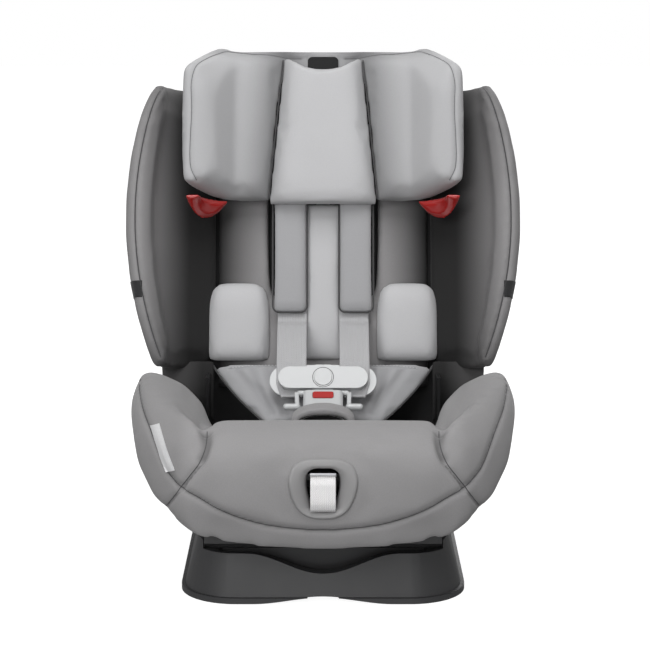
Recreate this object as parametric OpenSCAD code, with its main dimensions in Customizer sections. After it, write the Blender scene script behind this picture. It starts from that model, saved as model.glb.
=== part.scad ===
// Convertible child car seat: rocking seat on a low base, sliding headrest,
// five-point harness. Millimetres, +Z up, the seat faces -Y.

/* [Base] */
// Width of the base at the floor
base_w = 342; // [330:1:350]
// Depth of the base at the floor
base_len = 395; // [385:1:405]
// Radius of the base's plan corners
base_corner = 68; // [55:1:80]
// How much the base's sides lean in over 100 mm of height
base_lean = 26; // [22:1:30]
// Height of the front bumper
bumper_h = 57; // [52:1:60]
// Height of the flange round the foot
flange_h = 7; // [5:0.5:9]

/* [Recline] */
// Height of the recline centre
pivot_z = 425; // [420:1:432]
// Radius of the rocker's underside
rocker_r = 350; // [346:1:351]
// Half width of the rocker
rocker_hw = 140; // [134:1:141]
// Distance of each rail from the middle
rail_x = 95; // [85:1:105]
// Width of a rail
rail_w = 12; // [8:1:16]
// Height of a rail over the trough
rail_h = 12; // [10:1:14]
// Number of recline positions
recline_steps = 12; // [6:1:14]

/* [Seat] */
// Half width of the seat cushion
cushion_hw = 140; // [130:1:141]
// Height of the nose's crest
nose_z = 220; // [214:1:224]
// Thickness of the moulded walls
wall = 5; // [4:0.5:6]
// Height of the bolsters at their peak
bolster_z = 257; // [248:1:262]
// Half width over the bolsters
bolster_hw = 236; // [228:1:240]

/* [Back] */
// Lean of the back from upright, degrees
tilt = 17; // [16:0.5:18]
// Length of the back wall above the bite
back_len = 462; // [458:1:470]
// Half width over the back wings
wing_hw = 249.5; // [246:0.5:253]
// How far the back wings reach forward of the back wall
wing_reach = 119; // [115:1:123]
// Thickness of the back pad
back_pad_t = 17; // [14:1:18]
// Depth of the rear cover behind the back wall
rear_deep = 49; // [47:1:54]

/* [Headrest] */
// Half width over the headrest
head_hw = 183; // [179:1:187]
// Height of the headrest's upper edge along the back
head_top = 488; // [482:1:494]
// Height of the headrest's lower edge along the back
head_bottom = 281; // [277:1:285]
// Thickness of the centre pad
head_pad_t = 18; // [14:1:22]
// Travel of the headrest
head_travel = 99; // [80:1:99]
// Diameter of a guide rod
rod_d = 10; // [8:0.5:12]

/* [Harness] */
// Width of the webbing
web_w = 38; // [34:1:40]
// Thickness of the webbing
web_t = 1.6; // [1.2:0.1:2]
// Distance of each shoulder strap from the middle
strap_x = 40; // [39:0.5:42]
// Width of the chest clip's back plate
clip_w = 135; // [130:1:140]
// Height of the chest clip's back plate
clip_h = 42; // [38:1:46]
// Diameter of the chest clip's button
clip_button_d = 22; // [18:0.5:24]
// Width of the buckle
buckle_w = 50; // [46:1:54]

/* [Fits] */
// Gap between pieces that are screwed or sewn together
seat_gap = 0.3; // [0.2:0.05:0.5]
// Gap round sliding pieces
slide_gap = 0.4; // [0.3:0.05:0.6]
// Radial play of a pin or rod in its bore
bore_gap = 0.05; // [0.02:0.01:0.08]

/* [Hidden] */
$fn = 48;

body_grey = "#515152";
dark_grey = "#3a393b";
fabric_grey = "#888687";
fabric_dark = "#5f5d5e";
fabric_light = "#bababc";
web_grey = "#b2b2b4";
clip_white = "#cdcfce";
steel = "#b8babd";
red = "#b3221f";
black = "#1c1c1e";

// The recline centre, and the back's own frame at the bite
pivot = [-60, pivot_z];
bite = [95, 150];
base_front = -205;
base_rear = base_front + base_len;
trough_r = rocker_r + 6;
rail_r = trough_r - rail_h;
front_r = rocker_r + 29;
front_y = -200;
step_y = -150;
recline_max = 17.6;
head_path_r = 72;
head_plate_d = 41;
head_plate_t = 5;
back_hw = 148;
open_hw = 66;
open_h0 = 165;
open_h1 = 415;
stem_hw = 18;
rod_x = 60;
rod_mid = -25;
carriage_h = [back_len - 64, back_len - 12];
stem_h = [carriage_h[1] - 6, carriage_h[1] + 16];
rods_h = [carriage_h[0] - head_travel - 12, carriage_h[1] + 6];
bracket_t = 9;
rack_d = [-43, -39];
strap_d = 31.5;
strap_rear_d = -12;
strap_turn_h = 308;
splitter_h = 100;
lip_r = 26;
lip_c = [-222, nose_z - 22 - lip_r];
lip_low = 102;
bezel = [0, 158];
bezel_w = 75;
bezel_t = 62;
clip_c = [16, 222];
clip_lean = 33.7;
buckle_c = [-40, 190];
buckle_lean = 30;
buckle_len = 36;
buckle_t = 18;
crotch_y = -60;
pin_y = pivot[0];
pin_r = 6;

// Small helpers
function lerp(a, b, t) = a + (b - a) * t;
function bez(p, q, r, t) = (1 - t) * (1 - t) * p + 2 * t * (1 - t) * q + t * t * r;
function rev(v) = [for (i = [len(v) - 1:-1:0]) v[i]];
function clamp(v, lo, hi) = min(max(v, lo), hi);
function arc(c, r, a0, a1, n) =
  [for (i = [0:n]) let (a = lerp(a0, a1, i / n)) [c[0] + r * cos(a), c[1] + r * sin(a)]];
function total(v) = [for (i = 0, s = 0; i <= len(v); s = s + (i < len(v) ? v[i] : 0), i = i + 1)
    s][len(v)];
function normal(p, i) = let (d = p[min(i + 1, len(p) - 1)] - p[max(i - 1, 0)]) [-d[1], d[0]] / norm(d);
function shifted(p, t) = [for (i = [0:len(p) - 1]) p[i] + normal(p, i) * t];
function ribbon(p, t) = concat(shifted(p, t / 2), rev(shifted(p, -t / 2)));
// Height of a circle about the recline centre at depth y
function arc_z(r, y) = pivot[1] - sqrt(r * r - (y - pivot[0]) * (y - pivot[0]));
// Point of the back's frame (d forward, h up) in the side view
function bk(d, h) = [bite[0] + h * sin(tilt) - d * cos(tilt), bite[1] + h * cos(tilt) + d * sin(tilt)];
function pan_z(y) = lookup(y, [[-222, nose_z - 22], [-150, nose_z - 40], [-60, nose_z - 72],
  [-20, nose_z - 79], [95, nose_z - 79]]);

// Closed solid over a stack of rings with equal counts; bent end rings are capped by a strip
function cap(m, o, strip) = !strip ? [[for (j = [0:m - 1]) o + j]] : [for (j = [0:floor((m - 3) / 2)])
  each concat([[o + j, o + j + 1, o + m - 1 - j]],
    j + 1 < m - 2 - j ? [[o + j + 1, o + m - 2 - j, o + m - 1 - j]] : [])];
module skin(rings, strip = false) {
  m = len(rings[0]);
  n = len(rings);
  pts = [for (r = rings) each r];
  sides = [for (i = [0:n - 2]) for (j = [0:m - 1]) let (k = (j + 1) % m)
    each [[i * m + j, i * m + k, (i + 1) * m + k], [i * m + j, (i + 1) * m + k, (i + 1) * m + j]]];
  faces = concat(sides, [for (f = cap(m, 0, strip)) rev(f)], cap(m, (n - 1) * m, strip));
  vol = total([for (f = faces) for (k = [1:len(f) - 2]) cross(pts[f[0]], pts[f[k]]) * pts[f[k + 1]]]);
  polyhedron(pts, vol < 0 ? faces : [for (f = faces) rev(f)], convexity = 8);
}

// Side-view outline (y, z) pushed out along X
module side(x0, x1) { translate([x0, 0, 0]) rotate([90, 0, 90]) linear_extrude(x1 - x0) children(); }
// Front-view outline (x, z) pushed out along Y
module front(y0, y1) { translate([0, y1, 0]) rotate([90, 0, 0]) linear_extrude(y1 - y0) children(); }
// The back's frame: x, -d, h
module on_back() { translate([0, bite[0], bite[1]]) rotate([-tilt, 0, 0]) children(); }
module back_box(x0, x1, d0, d1, h0, h1) { translate([x0, -d1, h0]) cube([x1 - x0, d1 - d0, h1 - h0]); }
// Plan outline (x, d) pushed up along the back
module plan(h0, h1) { translate([0, 0, h0]) linear_extrude(h1 - h0) mirror([0, 1]) children(); }
module left() { mirror([1, 0, 0]) children(); }
// Ring about the recline axis
module sweep(r0, r1, x0, x1, y0, y1) {
  side(x0, x1) polygon(concat(
    [for (i = [0:16]) let (y = lerp(y0, y1, i / 16)) [y, arc_z(r0, y)]],
    [for (i = [16:-1:0]) let (y = lerp(y0, y1, i / 16)) [y, arc_z(r1, y)]]));
}
module pivot_disc(r, hw) { translate([0, pivot[0], pivot[1]]) rotate([0, 90, 0]) cylinder(r = r,
    h = 2 * hw, center = true, $fn = 160); }
// Round bar with round ends along X
module capsule(r, x0, x1) {
  end = r - r * cos(15);
  rotate([90, 0, 90]) rotate_extrude() polygon(concat([[0, x0 + end]],
    [for (a = [15:15:90]) [r * sin(a), x0 + r - r * cos(a)]],
    [for (a = [90:15:165]) [r * sin(a), x1 - r - r * cos(a)]], [[0, x1 - end]]));
}
module rounded_at(w, h, r) { translate([w / 2, h / 2]) rounded(w, h, r); }
module stadium(w, h) {
  square([w - h, h], center = true);
  for (s = [-1, 1]) translate([s * (w - h) / 2, 0]) circle(h / 2);
}
module rounded(w, l, r) {
  square([w - 2 * r, l], center = true);
  square([w, l - 2 * r], center = true);
  for (i = [-1, 1], j = [-1, 1]) translate([i * (w / 2 - r), j * (l / 2 - r)]) circle(r);
}

// Base
module base_plan(inset) {
  translate([0, base_front + base_len / 2]) rounded(base_w - 2 * inset, base_len - 2 * inset,
      base_corner - inset);
}
function scoop(x) = bumper_h - 23 * pow(cos(90 * clamp(abs(x) / 92, 0, 1)), 2);
function arch(x) = 8 * pow(cos(90 * clamp(abs(x) / 84, 0, 1)), 2);
foot_z = 120;
module base_body() {
  hull() {
    translate([0, 0, flange_h]) linear_extrude(0.1) base_plan(2.5 + base_lean * flange_h / 100, $fn = 32);
    translate([0, 0, foot_z]) linear_extrude(0.1) base_plan(2.5 + base_lean * foot_z / 100, $fn = 32);
  }
  linear_extrude(flange_h + 0.1) base_plan(0);
}
trough_hw = rocker_hw + 3;
module base_housing() color(body_grey) difference() {
  intersection() {
    base_body();
    side(-base_w, base_w) polygon([[base_front - 5, 0], [base_front - 5, bumper_h], [-188, bumper_h
        + 2], [-160, 67], [-110, 78],
      [60, 90], [base_rear - 30, foot_z], [base_rear + 5, foot_z], [base_rear + 5, 0]]);
  }
  pivot_disc(trough_r, trough_hw);
  // Deeper front of the trough, for the rocker's nose
  intersection() {
    pivot_disc(front_r + 4, trough_hw);
    translate([-200, base_front - 50, 0]) cube([400, step_y - base_front + 54, 300]);
  }
  // Scooped bumper and arched front edge
  front(base_front - 10, step_y - 4) polygon(concat([for (i = [-20:20]) let (x = trough_hw * i / 20)
      [x, scoop(x)]],
    [[trough_hw, 200], [-trough_hw, 200]]));
  front(base_front - 10, base_front + 60) polygon(concat([for (i = [-14:14]) [6 * i, arch(6 * i)]],
      [[84, -9], [-84, -9]]));
  // Hollow behind the bumper
  front(base_front + 12 + base_lean * bumper_h / 100, step_y - 4) polygon([[-120, 12], [120, 12], [130,
      200], [-130, 200]]);
  // Seats of the rails, the rack and the foot pads
  for (s = [-1, 1]) sweep(trough_r - 1, trough_r + 4 + seat_gap, s * rail_x - rail_w / 2 - seat_gap,
      s * rail_x + rail_w / 2 + seat_gap, step_y + 10, 130);
  sweep(trough_r - 1, trough_r + 4 + seat_gap, -10 - seat_gap, 10 + seat_gap, step_y + 10, 60);
  foot_layout() translate([0, 0, -1]) linear_extrude(4 + seat_gap) rounded(46 + 2 * seat_gap, 90
      + 2 * seat_gap, 12);
  // Ribbed underside
  for (i = [-1, 1], y = [-125, -20, 85]) translate([i * 33, y, -1]) linear_extrude(10) rounded(52, 88, 8);
}
module foot_layout() { for (i = [-1, 1], y = [-80, 100]) translate([i * 118, y, 0]) children(); }
module base_foot_pads() color(black) foot_layout() linear_extrude(3) rounded(46, 90, 12);
module recline_rail() {
  sweep(rail_r, trough_r + 4, -rail_w / 2, rail_w / 2, step_y + 11, 129);
}
module recline_rail_right() color(steel) translate([rail_x, 0, 0]) recline_rail();
module recline_rail_left() color(steel) translate([-rail_x, 0, 0]) recline_rail();
module recline_rack() color(steel) difference() {
  sweep(rail_r, trough_r + 4, -10, 10, step_y + 11, 59);
  for (i = [0:recline_steps - 1]) translate([0, pivot[0], pivot[1]])
    rotate([recline_max * i / recline_steps - recline_max / 2, 0, 0]) translate([0, 0, -rail_r - 3])
        cube([30, 4.5, 7], center = true);
}

// Rocker: two side boxes, a front panel and cross walls under the pan
shoe_r = rail_r - slide_gap;
cavity_hw = 22;
grip_z = [85, 97];
cam_z = [108, 119];
rocker_rear = 112;
module rocker_profile() {
  polygon(concat(
    [[front_y, arc_z(front_r, front_y)], [step_y, arc_z(front_r, step_y)]],
    [for (i = [0:14]) let (y = lerp(step_y, rocker_rear, i / 14)) [y, arc_z(rocker_r, y)]],
    [[rocker_rear, arc_z(rocker_r, rocker_rear) + 2], [90, pan_z(90) - wall - seat_gap - 0.4], [-20,
        pan_z(-20) - wall - seat_gap - 0.4],
     [-60, pan_z(-60) - wall - seat_gap - 0.4], [-150, pan_z(-150) - wall - seat_gap - 0.4], [front_y,
         pan_z(front_y) - wall - seat_gap - 0.4]]));
}
module rocker_housing() color(dark_grey) difference() {
  union() {
    difference() {
      side(-rocker_hw, rocker_hw) rocker_profile();
      // Open middle for the lock and the adjuster strap
      translate([-cavity_hw, -166, 40]) cube([2 * cavity_hw, 400, 200]);
      // Hand recess in the front panel
      translate([0, front_y - 1, (grip_z[0] + grip_z[1]) / 2]) rotate([-90, 0, 0]) linear_extrude(27)
          stadium(100, 26);
      translate([-16, front_y - 1, grip_z[0]]) cube([32, 27, cam_z[1] + 3 - grip_z[0]]);
      translate([-cavity_hw, front_y - 1, 126]) cube([2 * cavity_hw, 50, 90]);
    }
    // Guide of the lock pin
    translate([-cavity_hw - 1, pin_y - 15, 88]) cube([2 * cavity_hw + 2, 30, cam_z[0] - slide_gap - 88]);
  }
  translate([0, pin_y, 60]) cylinder(r = pin_r + bore_gap, h = 80);
  // Pocket of the crotch strap's anchor
  translate([0, crotch_y + 1, 136]) linear_extrude(40) rounded(68, 30, 6);
  for (s = [-1, 1]) {
    // Grooves over the rails
    sweep(shoe_r - 8 - seat_gap, rocker_r + 12, s * rail_x - rail_w / 2 - 3, s * rail_x + rail_w / 2
        + 3, step_y - 8, 125);
    // Slots for the pull bars
    translate([s * 11 - 2 - slide_gap, -180, cam_z[0] - slide_gap]) cube([4 + 2 * slide_gap, 40,
        cam_z[1] - cam_z[0] + 2 * slide_gap]);
    // Parting seams of the front panel
    translate([s * (rocker_hw - 5), front_y - 1, 0]) cube([1.2, 2.2, 300], center = true);
  }
}
module guide_shoes() color(black) for (s = [-1, 1])
  sweep(shoe_r - 8, shoe_r, s * rail_x - rail_w / 2, s * rail_x + rail_w / 2, step_y + 12, 100);
pull = 12;
lift = 6;
module recline_handle() color(black) {
  for (s = [-1, 1]) side(s * 11 - 2, s * 11 + 2) difference() {
    polygon([[-46, cam_z[0]], [-46, cam_z[1] + lift], [-80, cam_z[1] + lift], [-86, cam_z[1]], [-192,
        cam_z[1]], [-199, cam_z[1] - 6],
      [-199, grip_z[0] + 4], [-191, grip_z[0] + 4], [-188, cam_z[0]]]);
    polygon([[pin_y - 3 - slide_gap, cam_z[0] + 2], [pin_y + 3 + slide_gap, cam_z[0] + 2],
      [pin_y + pull + 3 + slide_gap, cam_z[0] + 2 + lift], [pin_y + pull + 3 + slide_gap, cam_z[0]
          + 9 + lift],
      [pin_y + pull - 3, cam_z[0] + 9 + lift], [pin_y - 3 - slide_gap, cam_z[0] + 9]]);
  }
  translate([0, -197, (grip_z[0] + grip_z[1]) / 2]) capsule(6, -46, 46);
}
module recline_lock_pin() color(steel) {
  translate([0, pin_y, arc_z(shoe_r, pin_y)]) cylinder(r = pin_r, h = cam_z[0] + 9 - arc_z(shoe_r,
      pin_y));
  translate([0, pin_y, cam_z[0] + 5.5]) rotate([0, 90, 0]) cylinder(r = 3, h = 28, center = true);
}

// Shell: pan with its front lip, back wall and hip plates
lip_path = concat([[95, pan_z(95)], [-20, pan_z(-20)], [-60, pan_z(-60)], [-150, pan_z(-150)]],
  arc([lip_c[0], lip_c[1]], lip_r, 90, 180, 6), [[lip_c[0] - lip_r - 2, lip_low]]);
hip_x = 146.5;
hip_h = 58;
module back_outline(hw, top, r) {
  translate([-hw, -14]) square([2 * hw, top + 14 - r]);
  translate([-hw + r, -14]) square([2 * (hw - r), top + 14]);
  for (s = [-1, 1]) translate([s * (hw - r), top - r]) circle(r);
}
module back_slab(d0, d1) { translate([0, -d0, 0]) rotate([90, 0, 0]) linear_extrude(d1 - d0) children(); }
module seat_pan() color(dark_grey) difference() {
  side(-rocker_hw, rocker_hw) polygon(concat(lip_path, rev(shifted(lip_path, wall))));
  // End against the back wall
  on_back() back_box(-200, 200, -60, seat_gap, -60, 30);
  // Slots for the crotch strap and the adjuster
  translate([0, crotch_y, 140]) linear_extrude(60) rounded(web_w + 6, 8, 2);
  front(-300, -200) translate([bezel[0], bezel[1]]) rounded(62, 52, 16);
}
module back_wall() color(dark_grey) on_back() difference() {
  union() {
    back_slab(-wall, 0) back_outline(back_hw, back_len, 46);
    // End brackets of the headrest's rods and rack
    for (h = [rods_h[0] - bracket_t, rods_h[1]]) difference() {
      back_box(-rod_x - 16, rod_x + 16, rack_d[0], -wall + 0.1, h, h + bracket_t);
      back_box(-rod_x - 1, rod_x + 1, -17, 0, h - 1, h + bracket_t + 1);
    }
    // Stiffening ribs behind the wall
    for (s = [-1, 1]) back_box(s * 115 - 2, s * 115 + 2, -18, -wall + 0.1, 40, back_len - 60);
  }
  // Opening for the straps, and slot for the headrest's stem
  back_slab(-wall - 0.5, 1) translate([0, (open_h0 + open_h1) / 2]) rounded(2 * open_hw,
      open_h1 - open_h0, 16);
  back_box(-stem_hw - 2, stem_hw + 2, -36, 20, open_h1 - 20, back_len + 30);
  for (s = [-1, 1]) translate([s * rod_x, -rod_mid, rods_h[0] - 3])
    cylinder(d = rod_d + 2 * bore_gap, h = rods_h[1] - rods_h[0] + 6);
  back_box(-9 - seat_gap, 9 + seat_gap, rack_d[0] - 1, rack_d[1] + seat_gap, rods_h[0] - 4, rods_h[1]
      + 4);
  // Pass for the central strap below the back
  back_box(-web_w / 2 - 3, web_w / 2 + 3, -40, 1, -30, 30);
  // Seats of the hip plates
  for (s = [-1, 1]) back_box(s * 170 - 170 + hip_x - 2 - seat_gap, s * 170 + 170 - hip_x + 2 + seat_gap,
    -wall - 1, 1, -20, hip_h + seat_gap);
}
module hip_plate() side(hip_x - 2, hip_x + 2) difference() {
  polygon([[11, 108], [70, 110], [102, 134], bk(-4, 10), bk(-4, hip_h), bk(56, hip_h), [11, 226]]);
  translate([80, 164]) rounded(40, 44, 8);
}
module hip_plates() color(dark_grey) {
  hip_plate();
  left() hip_plate();
}

// Bucket sides
function bol_top(y) = y < -110 ? bolster_z - 145 * pow((-110 - y) / 144, 2.2)
    : bolster_z - 25 * pow((y + 110) / 120, 2);
function bol_x(y) = bolster_hw - (y < -120 ? 68 * pow((-120 - y) / 134, 2.4) : 26 * pow(max(y, 0) / 52, 2));
function bol_edge(y) = max(bol_top(y) - 62, 112);
// Inner side of a bolster; it clears the hip plates at the rear
function bol_in(y) = cushion_hw + lookup(y, [[3, 2.6], [10.4, 10.4]]);
function bucket(y, t) = let (x = bol_x(y))
  bez([bol_in(y) + 0.4, lookup(y, [[10, 104], [40, 116]])],
    [x - 12, lookup(y, [[10, 102], [40, 112]])], [x - 5, bol_edge(y)], t);
bolster_ys = [-236, -232.5, -227, -218, -206, -190, -170, -148, -126, -100, -74, -48, -24, -6, 3, 10.4,
  24, 38, 47, 52];
module side_panel() {
  skin([for (y = bolster_ys) if (y >= -206) let (p = [for (t = [0:0.2:1]) bucket(y, t)])
    [for (q = concat(p, rev(shifted(p, 1 - wall)))) [q[0], y, q[1]]]]);
}
module side_panels() color(fabric_grey) {
  side_panel();
  left() side_panel();
}

// Bolster: thick pad on the bucket side, with a ridge that runs in to the nose
function ridge(y) = [
  bolster_hw - lookup(y, [[-236, 89], [-222, 84], [-205, 71], [-180, 50], [-150, 32], [-120, 22], [-60, 19],
    [0, 19], [52, 50]]),
  bolster_z - lookup(y, [[-236, 38], [-205, 26], [-180, 17], [-150, 7], [-120, 1], [-110, 0], [-60, 4],
    [11, 26], [52, 44]])];
function bolster_ring(y) = let (x = bol_x(y), e = bol_edge(y), r = ridge(y), xi = bol_in(y), m = max(e, 150),
    p = shifted([for (t = [0:0.2:1]) bucket(y, t)], 1.2), in = max(r[0] - 14, xi + 1.5), low = p[0][1] + 3)
  concat(p,
    [for (t = [0, 0.25, 0.5, 0.75, 0.9]) bez([x - 0.4, e + 2], [x + 2, lerp(e, r[1], 0.85)], r, t)],
    [r, [in, r[1] - 3], [max(lerp(in, xi, 0.45), xi + 1), lerp(m, r[1], 0.68)],
     [max(lerp(in, xi, 0.85), xi + 0.5), lerp(m, r[1], 0.25)], [xi, lerp(low, r[1], 0.36)], [xi - 0.4, low]]);
module bolster() {
  skin([for (y = bolster_ys) let (r = bolster_ring(y),
    c = [lerp(r[0][0], bol_x(y), y < 0 ? 0.35 : 0.5), y < 0 ? 158 : 182],
    k = lookup(y, [[-236, 0.74], [-232.5, 0.92], [-227, 1], [38, 1], [47, 0.9], [52, 0.68]]))
    [for (q = r) let (w = lerp(c, q, k)) [w[0], y, w[1]]]]);
}
module bolster_right() color(fabric_grey) bolster();
module bolster_left() color(fabric_grey) left() bolster();

// Seat cushion: crowned pad on the pan
cushion_t = 22;
function crown(x) = 4 * (1 - pow(x / cushion_hw, 2));
function cushion_ring(x) = let (c = crown(x), e = lookup(abs(x), [[cushion_hw - 16, 0],
    [cushion_hw - 5, 0.12], [cushion_hw, 0.38]]))
  concat([for (y = [76, -20, -60, -150]) [y, pan_z(y) + seat_gap + 0.2]], [[lip_c[0], nose_z - 21.4]],
    [for (q = [[lip_c[0], nose_z - 1.4], [-200, nose_z - 2], [-165, nose_z - 12 + c * 0.5],
      [-120, pan_z(-120) + cushion_t - 4 + c], [-60, pan_z(-60) + cushion_t - 4 + c],
      [-20, pan_z(-20) + cushion_t - 7 + c], [10, pan_z(10) + cushion_t - 7 + c],
      [40, pan_z(40) + cushion_t - 8 + c], [70, pan_z(70) + 12.5 + c * 0.5]])
      [q[0], lerp(q[1], pan_z(q[0]) + 2, e)]]);
module seat_cushion() color(fabric_grey) difference() {
  skin([for (s = [-1, -0.964, -0.886, -0.6, -0.3, 0, 0.3, 0.6, 0.886, 0.964, 1])
    [for (q = cushion_ring(s * cushion_hw)) [s * cushion_hw, q[0], q[1]]]]);
  translate([0, crotch_y, 130]) linear_extrude(60) rounded(web_w + 6, 8, 2);
}

// Nose: front roll over the lip, flaring down to a hem that meets the bolsters
function nose_in(x) = 14 * pow(abs(x) / 150, 2.6);
function nose_low(x) = 88.6 + 12 * pow(min(abs(x), 128) / 128, 1.6);
module nose_pad() color(fabric_grey) difference() {
  skin([for (s = [-1, -0.94, -0.8, -0.6, -0.4, -0.2, 0, 0.2, 0.4, 0.6, 0.8, 0.94, 1])
    let (a = abs(s), drop = 8 * pow(max(a - 0.8, 0) / 0.2, 2), low = nose_low(152 * s),
        thin = a == 1 ? 2.5 : 0, deep = a == 1 ? 4 : 0)
    [for (q = [[-222.6, nose_z - 1 - drop, 138, 0, 0], [-240, nose_z - 3 - drop, 138, 0.5, 0], [-254,
        nose_z - 11 - drop * 0.6, 139, 1, 0],
      [-265, nose_z - 27, 141, 1, thin], [-271, nose_z - 46, 149, 1, thin], [-272.3, nose_z - 70, 163,
          1, thin],
      [-271.5, 126, 177, 1, thin], [-268, low + 9, 170, 1, thin], [-261, low, 154, 0.6, 0],
      [-252.5, low + 3, 152, 0, 0], [-250.8, 126, 173, 0, deep], [-250.8, nose_z - 70, 160, 0, deep],
          [-250.8, nose_z - 46, 147, 0, deep],
      [lip_c[0] - 26.8, lip_c[1] + 11.2, 143, 0, 0], [lip_c[0] - 20.5, lip_c[1] + 20.5, 140, 0, 0],
          [lip_c[0] - 0.6, lip_c[1] + lip_r + 2.8, 138, 0, 0]])
      let (x = s * q[2]) [x, q[0] + nose_in(x) * q[3] + q[4], q[1]]]], strip = true);
  front(-300, -230) translate([bezel[0], bezel[1]]) scale(0.9) bezel_shape();
}

// Back wings: rigid box and padded cover
function wing_x(h) = wing_hw - 0.00105 * (h - 254) * (h - 254);
function wing_d(h) = h < 372 ? wing_reach : wing_reach - 60 * (1 - sqrt(1 - pow((h - 372) / 68, 2)));
wing_in = back_hw + 2 * seat_gap;
function wing_line(h) = let (w = wing_x(h), f = wing_d(h)) [for (t = [0:0.2:1]) bez([wing_in + 1,
    -0.5], [lerp(wing_in, w, 0.5), f * 0.26], [w - 4, f - 37], t)];
module wing_shell() on_back() {
  skin([for (h = [62, 90, 130, 180, 230, 280, 330, 372, 395, 412, 425, 433, 437]) let (w = wing_x(h),
      f = wing_d(h), c = [lerp(wing_in, w, 0.5), -5],
    k = lookup(h, [[62, 1], [412, 1], [425, 0.95], [433, 0.8], [437, 0.6]]))
    [for (q = concat([[wing_in, -rear_deep + 4]], wing_line(h), [[w - 0.6, f - 42], [w - 1, f - 60],
        [w - 9, -20], [w - 25, -rear_deep + 4]]))
      let (p = lerp(c, q, k)) [p[0], -p[1], h]]]);
}
module wing_shell_right() color(fabric_dark) wing_shell();
module wing_shell_left() color(fabric_dark) left() wing_shell();
function wing_ring(h, k) = let (w = wing_x(h), f = wing_d(h), p = shifted(wing_line(h), 0.8),
  a = concat(p, [[w - 0.3, f - 36.2], [w, f - 24], [w - 1, f - 12]]),
  b = [[w - 6, f - 3], [w - 15, f], [w - 25, f - 5], [lerp(wing_in, w, 0.72), f * 0.74], [lerp(wing_in,
      w, 0.45), f * 0.52],
    [lerp(wing_in, w, 0.15), f * 0.3], [wing_in - 5, 20], [wing_in - 4.5, 4]])
  concat(a, [for (j = [0:7]) lerp(a[clamp(8 - j, 0, 8)], b[j], k)]);
module wing_cover() on_back() {
  hs = [60, 64, 72, 90, 130, 180, 230, 280, 330, 372, 395, 412, 424, 432, 437];
  skin([for (h = hs) let (k = lookup(h, [[60, 0.5], [64, 0.75], [72, 0.93], [90, 1], [412, 1], [424,
      0.9], [432, 0.7], [437, 0.4]]))
    [for (q = wing_ring(h, k)) [q[0], -q[1], h]]]);
}
module wing_cover_right() color(fabric_dark) wing_cover();
module wing_cover_left() color(fabric_dark) left() wing_cover();

// Back pad behind the insert, open round the straps
module back_pad() color(fabric_dark) on_back() difference() {
  skin([for (h = [40, 46, 60, 140, 230, 320, 400, 430, 440]) let (k = lookup(h, [[40, 0.5], [46, 0.85],
      [60, 1], [400, 1], [430, 0.85], [440, 0.5]]), w = wing_in - 6.5)
    [for (q = concat([[-w, 1], [w, 1]], [for (i = [6:-1:-6]) [w * i / 6, 1 + (back_pad_t - 3
        + 3 * (1 - i * i / 36)) * k * (abs(i) == 6 ? 0.55 : 1)]])) [q[0], -q[1], h]]]);
  back_slab(-5, 40) translate([0, (open_h0 + 480) / 2 - 4]) rounded(2 * open_hw + 6, 480 - open_h0, 16);
}

// Infant insert
ins_d = back_pad_t + 2 * seat_gap;
panel_d = back_pad_t + 2;
ins_t = 24;
module insert_side_pad() on_back() {
  skin([for (h = [76, 79, 86, 98, 114, 130, 146, 158, 168, 175, 179]) let (e = lookup(h, [[76, 0],
      [146, 0], [158, 0.03], [168, 0.1], [175, 0.22], [179, 0.4]]),
    k = lookup(h, [[76, 0.5], [79, 0.75], [86, 0.95], [98, 1], [146, 1], [158, 0.95], [168, 0.8], [175,
        0.6], [179, 0.35]]),
    x0 = lerp(69, 104, e), x1 = lerp(143, 110, e))
    [for (q = concat([[x0, ins_d], [x1, ins_d]], [for (i = [8:-1:0]) let (s = i / 8) [lerp(x0, x1, s),
        ins_d + ins_t * k * pow(1 - pow(2 * s - 1, 4), 0.5) * 0.86 + ins_t * k * 0.14]])) [q[0], -q[1],
        h]]]);
}
module insert_side_pad_right() color(fabric_light) insert_side_pad();
module insert_side_pad_left() color(fabric_light) left() insert_side_pad();
ins_a = [79, 232];
ins_b = [-2, 173];
module insert_seat_pad() color(fabric_light) {
  v = (ins_b - ins_a) / norm(ins_b - ins_a);
  n = [v[1], -v[0]];
  skin([for (t = [0, 0.02, 0.07, 0.16, 0.3, 0.46, 0.62, 0.78, 0.9, 0.97, 1]) let (k = lookup(t, [[0,
      0.45], [0.02, 0.72], [0.07, 0.95], [0.16, 1], [0.78, 1], [0.9, 0.9], [0.97, 0.7], [1, 0.45]]),
    c = lerp(ins_a, ins_b, t) - n * 5 * sin(180 * t), w = lerp(143, 74, pow(t, 1.15)))
    [for (q = concat([[-w, -15.9], [w, -15.9]], [for (i = [7:-1:-7]) let (s = i / 7) [w * s, -12
        + k * (3 + 13 * pow(1 - pow(abs(s), 6), 0.5))]]))
      let (p = c + n * q[1]) [q[0], p[0], p[1]]]]);
}

// Centre panel between the shoulder straps
module insert_center_panel() color(fabric_light) on_back() {
  skin([for (h = [77, 80, 90, 130, 180, 230, 270, 280, 284]) let (k = lookup(h, [[77, 0.5], [80, 0.75],
      [90, 1], [270, 1], [280, 0.8], [284, 0.5]]), w = strap_x - web_w / 2 - 1.6)
    [for (q = concat([[-w, panel_d], [w, panel_d]], [for (i = [4:-1:-4]) let (s = i / 4) [w * s,
        panel_d + 10 * k * (0.4 + 0.6 * pow(1 - pow(abs(s), 4), 0.5))]])) [q[0], -q[1], h]]]);
}

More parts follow.
